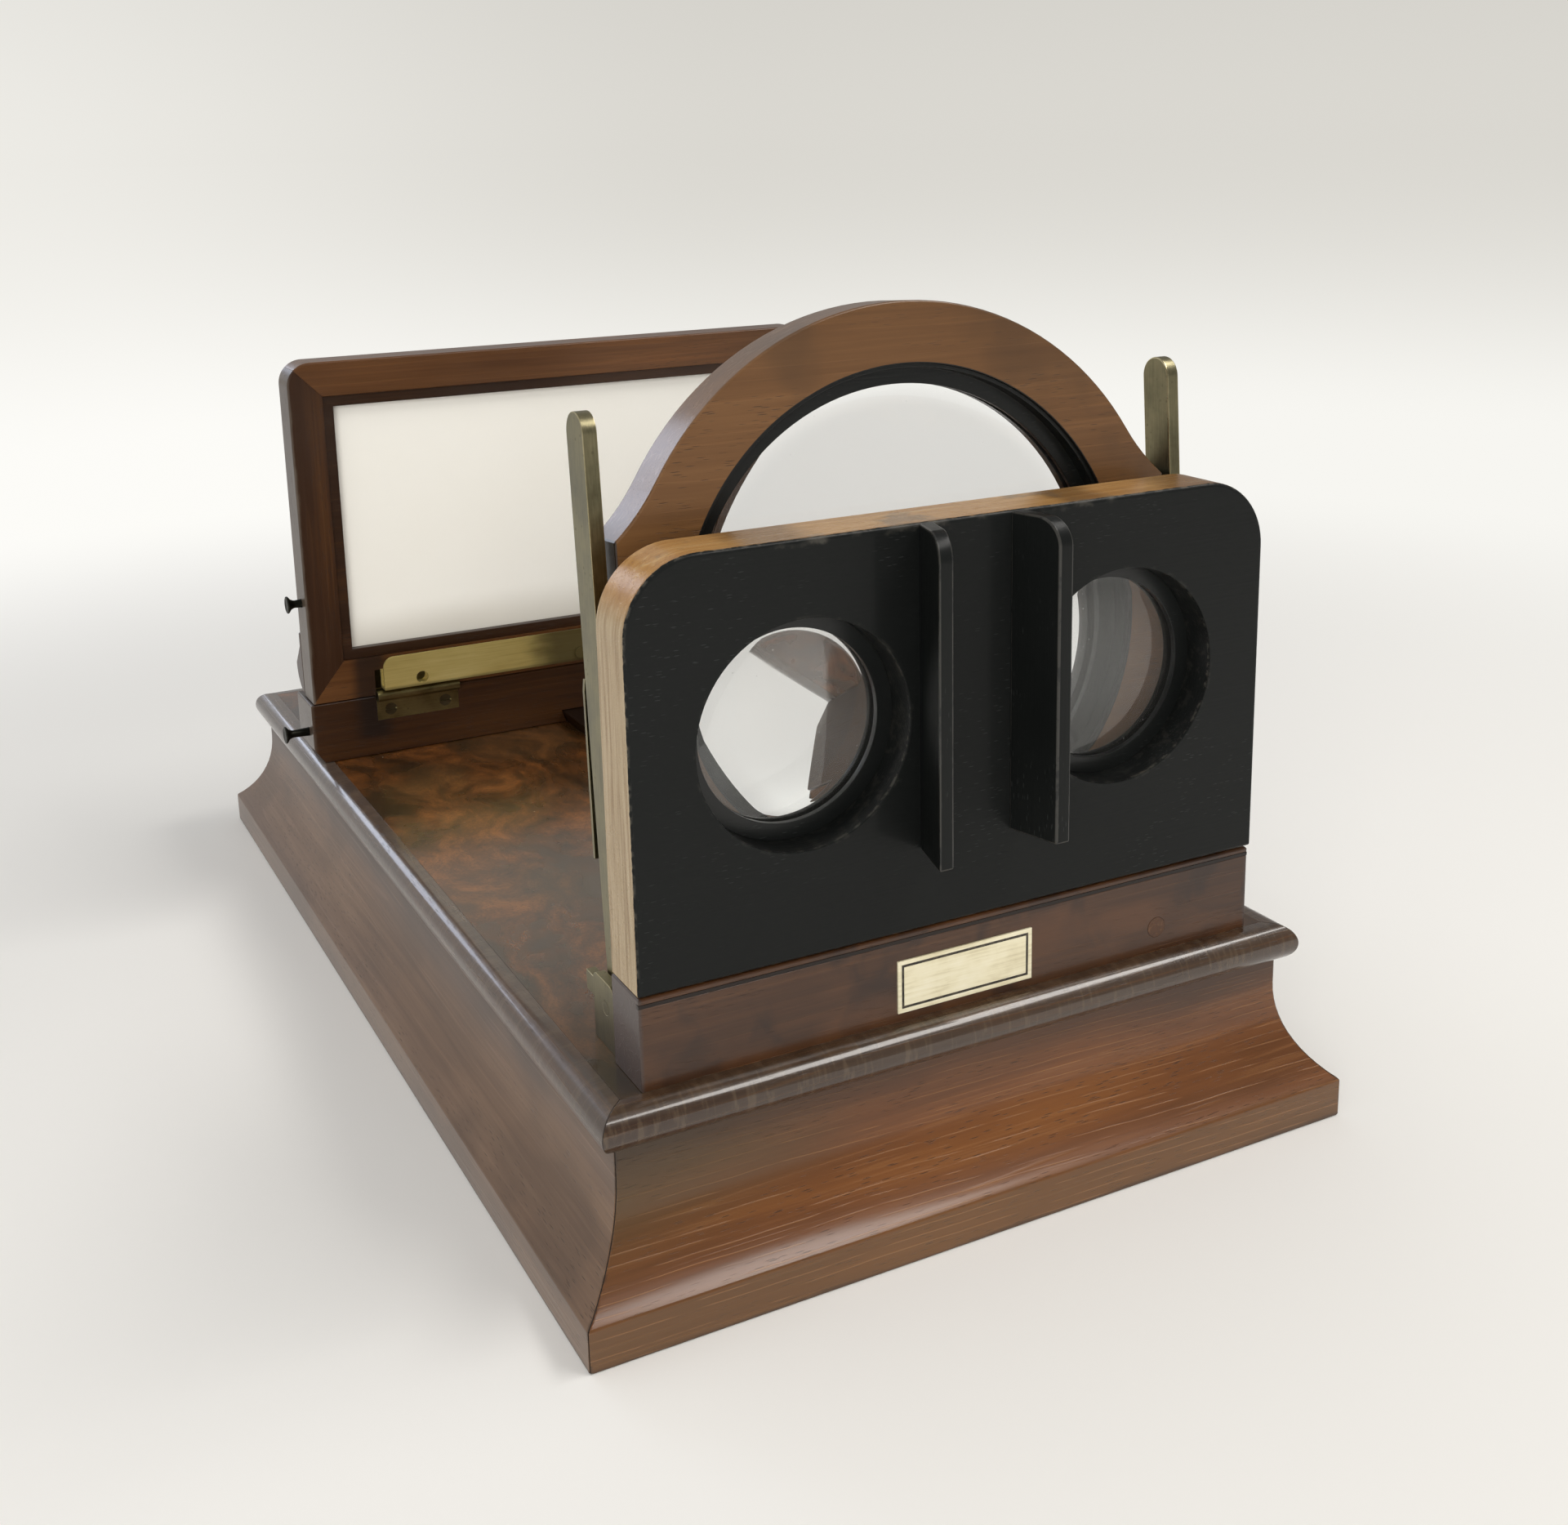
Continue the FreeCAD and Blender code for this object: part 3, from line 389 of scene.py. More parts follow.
# Front rail: reddish, with dark flames across it and greyed ends
rail = {"flame": (0.018, 0.009, 0.006), "glow": (0.115, 0.046, 0.017), "end": (0.050, 0.036, 0.032),
        "endX": (0.0772, 0.0780)}


def railPaint(name):
    paint = Paint(name)
    point = paint.point()
    x, y, z = paint.split(point)
    colour, rough, height = woodLayers(paint, point, "x", railWood)
    bent = paint.warp(point, (50.0, 30.0, 60.0), 0.02)
    flame = paint.noise(paint.stretch(bent, (70.0, 30.0, 55.0)), 3.0, 0.6)
    colour = paint.blend(paint.fade(flame, 0.48, 0.66) * 0.7, colour, rail["flame"])
    glow = paint.noise(paint.stretch(point, (26.0, 30.0, 60.0), (0.2, 0.5, 0.9)), 2.0)
    colour = paint.blend(paint.fade(glow, 0.50, 0.66) * 0.4, colour, rail["glow"])
    ends = paint.fade(abs(x), *rail["endX"])
    colour = paint.blend(ends * 0.8, colour, rail["end"])
    return paint.close(colour, rough, height, 0.00012, 0.6, coat=0.35, coatRough=0.14, specular=0.35)


# Arch: brown; near black on the faces that run beside the bars, which is painted shade, and inside the lens's
# bore
lean = math.radians(4.3)
arch = {
    "y": -0.12802,
    "z": 0.12969,
    "bore": 0.05675,
    "besideX": (0.0688, 0.0692),
    "besideZ": (0.1585, 0.1560),
    "dusk": (0.060, 0.032, 0.014),
    "dark": (0.010, 0.008, 0.007),
    "black": (0.008, 0.008, 0.007),
}


def archPaint(name):
    paint = Paint(name)
    point = paint.point()
    x, y, z = paint.split(point)
    colour, rough, height = woodLayers(paint, point, "x", archWood)
    patch = paint.noise(paint.stretch(point, (30.0, 30.0, 24.0)), 3.0, 0.6)
    colour = paint.blend(paint.fade(patch, 0.46, 0.66) * 0.45, colour, arch["dusk"])
    # painted shade on the side faces below the shoulders, in the gap beside the bars
    beside = paint.fade(abs(x), *arch["besideX"]) * paint.fade(z + (patch - 0.5) * 0.004, *arch["besideZ"])
    colour = paint.blend(beside * 0.92, colour, arch["dark"])
    across = (z - arch["z"]) * math.cos(lean) + (y - arch["y"]) * math.sin(lean)
    reach = (x * x + across * across) ** 0.5
    inBore = paint.fade(reach + (patch - 0.5) * 0.0003, arch["bore"] + 0.0001, arch["bore"])
    colour = paint.blend(inBore, colour, arch["black"])
    return paint.close(colour, rough, height, 0.00010, 0.5, coat=0.4, coatRough=0.17, specular=0.35)


# Screen frame and carriage: dark polish, with a dark mark beside the left hinge that is partly stain and
# partly painted shadow of the ledge and hinge, and a worn outer end
stain = {"x": -0.0700, "half": 0.0020, "soft": 0.0050, "low": 0.0560, "high": 0.0880,
         "colour": (0.010, 0.007, 0.006)}


def framePaint(name, direction, wood, endX, worn):
    paint = Paint(name)
    point = paint.point()
    x, y, z = paint.split(point)
    colour, rough, height = woodLayers(paint, point, direction, wood)
    patch = paint.noise(paint.stretch(point, (60.0, 60.0, 60.0)), 3.0, 0.6)
    ends = paint.fade(abs(x) + (patch - 0.5) * 0.003, endX - 0.0012, endX + 0.0002)
    colour = paint.blend(ends * 0.6, colour, worn)
    # a dark band beside the left hinge: partly stain, partly painted shadow of the ledge and hinge
    stainAndShadow = paint.band(x + (patch - 0.5) * 0.006, stain["x"], stain["half"], stain["soft"])
    stainAndShadow = stainAndShadow * paint.band(z, (stain["low"] + stain["high"]) / 2, (stain["high"] - stain["low"]) / 2, 0.004)
    colour = paint.blend(stainAndShadow * 0.8, colour, stain["colour"])
    return paint.close(colour, rough, height, 0.00010, 0.5, coat=0.22, coatRough=0.18, specular=0.3)


# Burr veneer: blurred orange flames on dark and olive ground, with fine speckle and a few eyes
burr = {
    "stops": [(0.36, (0.018, 0.009, 0.004)), (0.45, (0.050, 0.021, 0.006)), (0.53, (0.116, 0.041, 0.010)),
              (0.64, (0.270, 0.098, 0.023))],
    "olive": (0.040, 0.029, 0.013),
    "eye": (0.018, 0.008, 0.004),
    "glint": (0.62, 0.52, 0.38),
    "dust": (0.030, 0.015, 0.008),
}


def burrPaint(name):
    paint = Paint(name)
    point = paint.point()
    bent = paint.warp(point, (20.0, 15.0, 20.0), 0.045, 3.0)
    twice = paint.warp(bent, (90.0, 70.0, 90.0), 0.004, 2.0)
    cloud = paint.noise(paint.stretch(bent, (58.0, 38.0, 50.0)), 3.0, 0.55)
    flame = paint.noise(paint.stretch(twice, (190.0, 110.0, 150.0)), 4.0, 0.62)
    fine = paint.noise(paint.stretch(twice, (1900.0, 1100.0, 1500.0)), 3.0, 0.65)
    tone = cloud * 0.46 + flame * 0.34 + fine * 0.20
    colour = paint.ramp(tone, burr["stops"])
    patch = paint.noise(paint.stretch(point, (22.0, 16.0, 22.0), (0.25, 0.6, 0.1)), 2.0)
    colour = paint.blend(paint.fade(patch, 0.50, 0.66) * 0.55, colour, burr["olive"])
    eyes = paint.cells(paint.stretch(twice, (120.0, 90.0, 120.0)))
    dots = paint.fade(eyes, 0.11, 0.04)
    colour = paint.blend(dots * 0.6, colour, burr["eye"])
    glint = paint.fade(paint.cells(paint.stretch(point, (95.0, 80.0, 95.0), (0.3, 0.9, 0.2))), 0.035, 0.018)
    colour = paint.blend(glint * 0.7, colour, burr["glint"])
    dust = paint.fade(paint.cells(paint.stretch(point, (900.0, 700.0, 900.0), (0.5, 0.2, 0.8))), 0.30, 0.14)
    colour = paint.blend(dust * 0.45, colour, burr["dust"])
    rough = 0.28 + (cloud - 0.5) * 0.2
    ripple = paint.noise(paint.stretch(point, (60.0, 45.0, 60.0)), 2.0)
    height = ripple * 3.0 + fine * 0.3
    return paint.close(colour, rough, height, 0.00008, 0.5, coat=0.4, coatRough=0.13, specular=0.35)


# Black paint on the board's front, thin at the arrises, over golden walnut
blackBoard = {
    "paintEnd": -0.15735,
    "eyeX": 0.0396,
    "eyeZ": 0.1171,
    "eyeRadius": 0.02465,
    "paint": (0.0050, 0.0057, 0.0055),
    "rub": (0.095, 0.088, 0.074),
    "dust": (0.034, 0.037, 0.036),
    "topStains": [(-0.046, 0.010, 0.0045), (0.030, 0.007, 0.0030), (0.060, 0.012, 0.0040)],
    "stain": (0.085, 0.040, 0.014),
    "endGrain": [(0.32, (0.27, 0.185, 0.100)), (0.5, (0.38, 0.285, 0.170)), (0.68, (0.45, 0.355, 0.230))],
    "endGrainX": (0.0700, 0.0780),
    "endGrainZ": (0.1520, 0.1440),
    "topChips": (0.1562, 0.1574),
}


def blackLayers(paint, point, direction, wood):
    grain = paint.noise(paint.stretch(point, alongGrain(direction, 50.0, 1500.0)), 3.0, 0.6)
    dash = paint.cells(paint.stretch(point, alongGrain(direction, 260.0, 2000.0)))
    cloud = paint.noise(paint.stretch(point, (34.0, 34.0, 34.0)), 3.0, 0.6)
    lines = paint.fade(dash, 0.22, 0.10) * paint.fade(cloud, 0.46, 0.62)
    colour = paint.blend(cloud * 0.6, wood["paint"], tuple(part * 2.1 for part in wood["paint"]))
    colour = paint.blend(lines * 0.7, colour, wood["dust"])
    rough = 0.50 + (cloud - 0.5) * 0.25 + lines * 0.1
    height = grain * 0.9 + lines * 0.6
    return colour, rough, height


def boardPaint(name):
    paint = Paint(name)
    point = paint.point()
    x, y, z = paint.split(point)
    woodColour, woodRough, woodHeight = woodLayers(paint, point, "x", goldWood)
    fibre = paint.noise(paint.stretch(point, (500.0, 900.0, 40.0)), 3.0, 0.6)
    endGrain = paint.ramp(fibre, blackBoard["endGrain"])
    side = paint.fade(abs(x), *blackBoard["endGrainX"]) * paint.fade(z, *blackBoard["endGrainZ"])
    woodColour = paint.blend(side, woodColour, endGrain)
    cloud = paint.noise(paint.stretch(point, (60.0, 60.0, 60.0)), 3.0, 0.6)
    marks = 0.0
    for middle, half, soft in blackBoard["topStains"]:
        marks = marks + paint.band(x + (cloud - 0.5) * 0.02, middle, half * 0.4, soft * 2.0)
    woodColour = paint.blend(marks * 0.55, woodColour, blackBoard["stain"])
    blackColour, blackRough, blackHeight = blackLayers(paint, point, "x", blackBoard)
    ragged = paint.noise(paint.stretch(point, (420.0, 420.0, 420.0)), 3.0, 0.65)
    onFront = paint.fade(y + (ragged - 0.5) * 0.0011, blackBoard["paintEnd"] + 0.0001,
                         blackBoard["paintEnd"] - 0.0001)
    across = abs(x) - blackBoard["eyeX"]
    rise = z - blackBoard["eyeZ"]
    reach = (across * across + rise * rise) ** 0.5
    inBore = paint.fade(reach, blackBoard["eyeRadius"] + 0.0002, blackBoard["eyeRadius"])
    black = onFront + inBore - onFront * inBore
    worn = paint.band(y, blackBoard["paintEnd"] - 0.0001, 0.0002, 0.0003) * paint.fade(ragged, 0.46, 0.58)
    lip = paint.band(reach, blackBoard["eyeRadius"] + 0.0001, 0.0002, 0.0004) * paint.fade(ragged, 0.5, 0.66)
    chips = paint.fade(z + (ragged - 0.5) * 0.004, *blackBoard["topChips"]) * paint.fade(cloud, 0.52, 0.62)
    colour = paint.blend(black, woodColour, blackColour)
    colour = paint.blend(worn * 0.45, colour, blackBoard["rub"])
    colour = paint.blend(chips * 0.5, colour, blackBoard["rub"])
    colour = paint.blend(lip * 0.12, colour, blackBoard["rub"])
    rough = woodRough + (blackRough - woodRough) * black
    height = woodHeight + (blackHeight - woodHeight) * black
    return paint.close(colour, rough, height, 0.00012, 0.6, coat=0.10, coatRough=0.14, specular=0.14)


def blackPaint(name, direction, rough=0.4, worn=0.0, specular=0.14, coat=0.08):
    # worn is how much of the surface shows rubbed paint
    paint = Paint(name)
    point = paint.point()
    colour, blackRough, height = blackLayers(paint, point, direction, blackBoard)
    rubbed = paint.noise(paint.stretch(point, (330.0, 330.0, 200.0)), 3.0, 0.7)
    colour = paint.blend(paint.fade(rubbed, 0.62, 0.50) * worn, colour, blackBoard["rub"])
    return paint.close(colour, blackRough + (rough - 0.5), height, 0.00010, 0.5, coat=coat, coatRough=0.2,
                       specular=specular)


# Metals
def alloy(dark, mid, light, rough, speck):
    return {"stops": [(0.3, dark), (0.5, mid), (0.7, light)], "rough": rough, "speck": speck}


agedBrass = alloy((0.125, 0.112, 0.066), (0.225, 0.202, 0.120), (0.330, 0.292, 0.172), 0.34, 0.25)
leafBrass = alloy((0.145, 0.125, 0.055), (0.300, 0.255, 0.115), (0.420, 0.360, 0.170), 0.40, 0.35)
brightBrass = alloy((0.600, 0.470, 0.150), (0.740, 0.610, 0.220), (0.840, 0.710, 0.300), 0.36, 0.1)
edgeBrass = alloy((0.300, 0.260, 0.150), (0.440, 0.385, 0.230), (0.620, 0.550, 0.350), 0.26, 0.2)
darkBronze = alloy((0.012, 0.013, 0.011), (0.035, 0.035, 0.028), (0.080, 0.078, 0.058), 0.42, 0.3)
greySteel = alloy((0.085, 0.078, 0.046), (0.165, 0.150, 0.090), (0.290, 0.265, 0.165), 0.36, 0.35)


def metalPaint(name, metal, direction, shadowAndTarnish=None):
    # the last argument says how far out and how high the corner starts that is painted dark beside another
    # piece: partly tarnish, partly painted shadow
    paint = Paint(name)
    point = paint.point()
    cloud = paint.noise(paint.stretch(point, (80.0, 80.0, 80.0)), 4.0, 0.65)
    brushed = paint.noise(paint.stretch(point, alongGrain(direction, 90.0, 3000.0)), 2.0, 0.6)
    speck = paint.fade(paint.cells(paint.stretch(point, (460.0, 460.0, 460.0))), 0.20, 0.08)
    speck = speck * paint.fade(cloud, 0.44, 0.6)
    colour = paint.ramp(cloud * 0.7 + brushed * 0.3, metal["stops"])
    colour = paint.blend(speck * metal["speck"], colour, tuple(part * 0.5 for part in metal["stops"][0][1]))
    if shadowAndTarnish:
        x, y, z = paint.split(point)
        # the corner painted dark: partly tarnish, partly painted shadow
        corner = paint.fade(abs(x), shadowAndTarnish["x"] - 0.0002, shadowAndTarnish["x"])
        corner = corner * paint.fade(z, shadowAndTarnish["z"] - 0.0004, shadowAndTarnish["z"])
        colour = paint.blend(corner * 0.92, colour, shadowAndTarnish["colour"])
    rough = metal["rough"] + (cloud - 0.5) * 0.3 + speck * 0.15
    height = brushed * 0.4 - speck * 0.5
    return paint.close(colour, rough, height, 0.00004, 0.35, metallic=1.0)


# the hinge leaves' outer corners, painted dark: partly tarnish, partly painted shadow beside the hinge
leafShadowAndTarnish = {"x": 0.0655, "z": 0.0702, "colour": (0.010, 0.008, 0.006)}
ledge = {
    "rivetX": -0.004,
    "bloomReach": (0.017, 0.005),
    "bloom": (0.050, 0.036, 0.015),
    "grimeZ": (0.0712, 0.0704),
    "darkTone": (0.080, 0.060, 0.024),
}


def ledgePaint(name):
    # bright brass with a brown bloom round the rivet
    paint = Paint(name)
    point = paint.point()
    x, y, z = paint.split(point)
    cloud = paint.noise(paint.stretch(point, (36.0, 60.0, 90.0)), 3.0, 0.55)
    brushed = paint.noise(paint.stretch(point, (70.0, 3000.0, 3000.0)), 2.0, 0.6)
    colour = paint.ramp(cloud * 0.6 + brushed * 0.4, brightBrass["stops"])
    bloom = paint.fade(abs(x - ledge["rivetX"]) + (cloud - 0.5) * 0.02, *ledge["bloomReach"])
    colour = paint.blend(bloom * 0.85, colour, ledge["bloom"])
    lowGrime = paint.fade(z + (cloud - 0.5) * 0.001, *ledge["grimeZ"])
    colour = paint.blend(lowGrime * 0.5, colour, ledge["darkTone"])
    rough = brightBrass["rough"] + (cloud - 0.5) * 0.2 + bloom * 0.1
    return paint.close(colour, rough, brushed, 0.00003, 0.3, metallic=0.72)


# Ivory, opal and clear glass
def ivoryPaint(name):
    paint = Paint(name)
    point = paint.point()
    lines = paint.noise(paint.stretch(point, (70.0, 70.0, 1500.0)), 3.0, 0.6)
    cloud = paint.noise(paint.stretch(point, (120.0, 120.0, 120.0)), 3.0, 0.6)
    colour = paint.ramp(lines * 0.5 + cloud * 0.5, [(0.35, (0.58, 0.51, 0.33)), (0.5, (0.74, 0.68, 0.48)),
                                                      (0.65, (0.80, 0.75, 0.58))])
    return paint.close(colour, 0.34 + (cloud - 0.5) * 0.2, lines, 0.00004, 0.3)


def inkPaint(name):
    # the dark filling of the plaque's engraved border
    paint = Paint(name)
    cloud = paint.noise(paint.stretch(paint.point(), (900.0, 900.0, 900.0)), 3.0, 0.6)
    colour = paint.ramp(cloud, [(0.4, (0.016, 0.013, 0.011)), (0.62, (0.075, 0.062, 0.045))])
    return paint.close(colour, 0.6 + (cloud - 0.5) * 0.3, cloud, 0.00003, 0.3)


opal = {"halfWidth": 0.0778, "low": 0.0802,
        "white": (0.920, 0.912, 0.862), "cream": (0.880, 0.858, 0.775), "soot": (0.34, 0.30, 0.23)}


def opalPaint(name):
    paint = Paint(name)
    point = paint.point()
    x, y, z = paint.split(point)
    cloud = paint.noise(paint.stretch(point, (22.0, 22.0, 22.0)), 3.0, 0.6)
    grit = paint.noise(paint.stretch(point, (500.0, 500.0, 500.0)), 3.0, 0.7)
    colour = paint.blend(cloud * 0.6, opal["white"], opal["cream"])
    edge = paint.fade(z + (cloud - 0.5) * 0.006, opal["low"] + 0.016, opal["low"] + 0.003)
    colour = paint.blend(edge * 0.40, colour, opal["soot"])
    side = paint.fade(abs(x) + (cloud - 0.5) * 0.004, opal["halfWidth"] - 0.006, opal["halfWidth"] - 0.001)
    colour = paint.blend(side * 0.25, colour, opal["soot"])
    specks = paint.fade(grit, 0.74, 0.8)
    colour = paint.blend(specks * 0.3, colour, opal["soot"])
    return paint.close(colour, 0.32 + cloud * 0.1, grit, 0.00003, 0.2, coat=0.15, coatRough=0.12)


def glassPaint(name, veil):
    # clear glass under a thin, uneven film of dust
    paint = Paint(name)
    point = paint.point()
    smear = paint.noise(paint.stretch(point, (60.0, 60.0, 60.0)), 3.0, 0.6)
    dust = paint.fade(paint.cells(paint.stretch(point, (300.0, 300.0, 300.0))), 0.045, 0.02)
    rough = paint.fade(smear, 0.45, 0.8) * 0.04 + dust * 0.3
    clear = {"Base Color": (0.985, 0.99, 0.985, 1.0), "Roughness": rough, "IOR": 1.52,
             "Transmission Weight": 1.0}
    glass = paint.node("ShaderNodeBsdfPrincipled", None, clear, "BSDF")
    film = paint.node("ShaderNodeBsdfPrincipled", None,
                      {"Base Color": (0.62, 0.61, 0.56, 1.0), "Roughness": 0.7}, "BSDF")
    share = veil * (0.4 + smear * 1.2) + dust * 0.1
    mixed = paint.node("ShaderNodeMixShader", None, {0: share, 1: glass, 2: film})
    paint.node("ShaderNodeOutputMaterial", None, {"Surface": mixed})
    return paint.material


print("stage: mixing materials")
materials = {
    "plinthFront": mouldingPaint("plinthFront", "x", frontWood, 0.50, 0.0, True),
    "plinthBack": mouldingPaint("plinthBack", "x", sideWood, 0.12, 0.05, False),
    "plinthSide": mouldingPaint("plinthSide", "y", sideWood, 0.10, 0.26, False),
    "beadFront": beadPaint("beadFront", "x", beadWood, 0.0, 0.9),
    "beadSide": beadPaint("beadSide", "y", beadWood, 0.12, 0.45),
    "burrPanel": burrPaint("burrPanel"),
    "railWalnut": railPaint("railWalnut"),
    "archWalnut": archPaint("archWalnut"),
    "carriageWalnut": framePaint("carriageWalnut", "x", carriageWood, 0.0889, (0.105, 0.080, 0.062)),
    "screenRailWalnut": framePaint("screenRailWalnut", "x", screenTopWood, 0.0879, (0.120, 0.095, 0.070)),
    "screenStileWalnut": framePaint("screenStileWalnut", "z", screenWood, 0.0879, (0.120, 0.095, 0.070)),
    "cleatWalnut": woodPaint("cleatWalnut", "z", screenWood),
    "darkBead": woodPaint("darkBead", "x", shade(screenWood, 0.75, rough=0.44)),
    "stringing": woodPaint("stringing", "x", shade(screenWood, 0.22)),
    "ebonised": woodPaint("ebonised", "y", shade(screenWood, 0.22, rough=0.34)),
    "plugWood": woodPaint("plugWood", "y", shade(railWood, 1.35, fleckDepth=0.3)),
    "pine": woodPaint("pine", "y", pineWood, 0.0),
    "blackBoard": boardPaint("blackBoard"),
    "blackRib": blackPaint("blackRib", "z"),
    "blackEdge": blackPaint("blackEdge", "z", 0.38, 0.22, 0.4, 0.2),
    "blackRing": blackPaint("blackRing", "x", 0.34, 0.0, 0.35, 0.2),
    "agedBrass": metalPaint("agedBrass", agedBrass, "z"),
    "edgeBrass": metalPaint("edgeBrass", edgeBrass, "z"),
    "leafEdge": metalPaint("leafEdge", edgeBrass, "z", leafShadowAndTarnish),
    "leafBrass": metalPaint("leafBrass", leafBrass, "x", leafShadowAndTarnish),
    "ledgeBrass": ledgePaint("ledgeBrass"),
    "darkBronze": metalPaint("darkBronze", darkBronze, "x"),
    "steel": metalPaint("steel", greySteel, "x"),
    "ivory": ivoryPaint("ivory"),
    "ink": inkPaint("ink"),
    "opalGlass": opalPaint("opalGlass"),
    "clearGlass": glassPaint("clearGlass", 0.006),
    "dustyGlass": glassPaint("dustyGlass", 0.018),
}

finishes = {
    "plinthFront": ["plinth_front"],
    "plinthBack": ["plinth_back"],
    "plinthSide": ["plinth_left", "plinth_right"],
    "beadFront": ["bead_front", "bead_back"],
    "beadSide": ["bead_left", "bead_right"],
    "burrPanel": ["burr_veneer"],
    "railWalnut": ["front_rail"],
    "archWalnut": ["magnifier_frame"],
    "carriageWalnut": ["carriage_rail"],
    "screenRailWalnut": ["screen_rail_top", "screen_rail_bottom"],
    "screenStileWalnut": ["screen_stile_left", "screen_stile_right"],
    "cleatWalnut": ["heel_cleats"],
    "darkBead": ["screen_bead"],
    "stringing": ["rail_stringing"],
    "ebonised": ["focus_runner"],
    "plugWood": ["rail_plug"],
    "pine": ["base_panel", "bottom_board", "glue_blocks", "glazing_beads", "board_dowels"],
    "blackBoard": ["stereo_board"],
    "blackRib": ["nose_rib_left", "nose_rib_right"],
    "blackRing": ["stereo_ring_left", "stereo_ring_right", "magnifier_ring"],
    "agedBrass": ["stand_bar_left", "stand_bar_right", "slide_guide_left", "slide_guide_right",
                  "hinge_bracket_left", "hinge_bracket_right", "pivot_rod"],
    "leafBrass": ["lower_hinge_leaf_left", "lower_hinge_leaf_right", "upper_hinge_leaf_left",
                  "upper_hinge_leaf_right"],
    "ledgeBrass": ["card_ledge", "ledge_rivet"],
    "darkBronze": ["carriage_catch_pin", "screen_catch_pin"],
    "steel": ["bracket_screws", "guide_screws", "runner_screws", "lower_hinge_screws",
              "upper_hinge_screws", "ledge_screws", "hinge_pins"],
    "ivory": ["blank_plaque"],
    "opalGlass": ["opal_panel"],
    "clearGlass": ["magnifier_lens"],
    "dustyGlass": ["stereo_lens_left", "stereo_lens_right"],
}

bodyOf = {name: body for body, names in frame["record"]["behaviour"]["bodies"].items() for name in names}
finishOf = {}
for finish, names in finishes.items():
    for name in names:
        finishOf[name] = finish
        for place in nodes[name].material_slots:
            place.material = materials[finish]
print("stage: materials on nodes")


# Pieces that stand for CAD nodes
def settle(piece, node):
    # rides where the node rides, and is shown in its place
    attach(piece, bodyOf[node])
    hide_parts(node)


def choose(piece):
    bpy.ops.object.select_all(action="DESELECT")
    piece.select_set(True)
    bpy.context.view_layer.objects.active = piece


def evenShading(piece, angle):
    # smooth across small steps, with the broad faces kept flat
    bpy.ops.object.shade_smooth_by_angle(angle=math.radians(angle))
    flat = piece.modifiers.new("flatFaces", "WEIGHTED_NORMAL")
    flat.weight = 100
    flat.keep_sharp = True
    bpy.ops.object.modifier_apply(modifier="flatFaces")


def roundOver(piece, width, angle, material=-1):
    bevel = piece.modifiers.new("arris", "BEVEL")
    bevel.width = width
    bevel.segments = 2
    bevel.limit_method = "ANGLE"
    bevel.angle_limit = math.radians(angle)
    bevel.material = material
    bpy.ops.object.modifier_apply(modifier="arris")


def softCopy(node, width, edgeFinish):
    # a copy of the node's mesh, merged and with its arrises rounded over
    piece = bpy.data.objects.new("soft_" + node, nodes[node].data.copy())
    scene.collection.objects.link(piece)
    choose(piece)
    bpy.ops.object.mode_set(mode="EDIT")
    bpy.ops.mesh.select_all(action="SELECT")
    bpy.ops.mesh.remove_doubles(threshold=softening["merge"])
    bpy.ops.mesh.dissolve_limited(angle_limit=math.radians(softening["flat"]))
    bpy.ops.object.mode_set(mode="OBJECT")
    piece.data.materials.clear()
    piece.data.materials.append(materials[finishOf[node]])
    if edgeFinish:
        piece.data.materials.append(materials[edgeFinish])
    roundOver(piece, width, softening["corner"], 1 if edgeFinish else -1)
    evenShading(piece, softening["smooth"])
    settle(piece, node)


# merging in metres, the rest in degrees
softening = {"merge": 0.00001, "flat": 0.6, "corner": 40.0, "smooth": 32.0}

# how far each arris is rounded, in metres, and the finish of the worn arris
arrises = [
    (0.00045, None, ["plinth_front", "plinth_back", "plinth_left", "plinth_right"]),
    (0.00012, None, ["bead_front", "bead_back", "bead_left", "bead_right", "burr_veneer"]),
    (0.00035, None, ["front_rail", "carriage_rail", "focus_runner", "heel_cleats"]),
    (0.00020, None, ["screen_rail_top", "screen_rail_bottom", "screen_stile_left", "screen_stile_right"]),
    (0.00030, None, ["magnifier_frame", "stereo_board"]),
    (0.00045, "blackEdge", ["nose_rib_left", "nose_rib_right"]),
    (0.00032, "edgeBrass", ["stand_bar_left", "stand_bar_right"]),
    (0.00014, "edgeBrass", ["slide_guide_left", "slide_guide_right", "hinge_bracket_left",
                            "hinge_bracket_right"]),
    (0.00014, None, ["card_ledge"]),
    (0.00010, "leafEdge", ["lower_hinge_leaf_left", "lower_hinge_leaf_right", "upper_hinge_leaf_left",
                            "upper_hinge_leaf_right"]),
    (0.00015, None, ["screen_bead", "glazing_beads", "magnifier_ring", "stereo_ring_left",
                     "stereo_ring_right"]),
]

for width, edgeFinish, names in arrises:
    for name in names:
        softCopy(name, width, edgeFinish)
print("stage: arrises rounded")


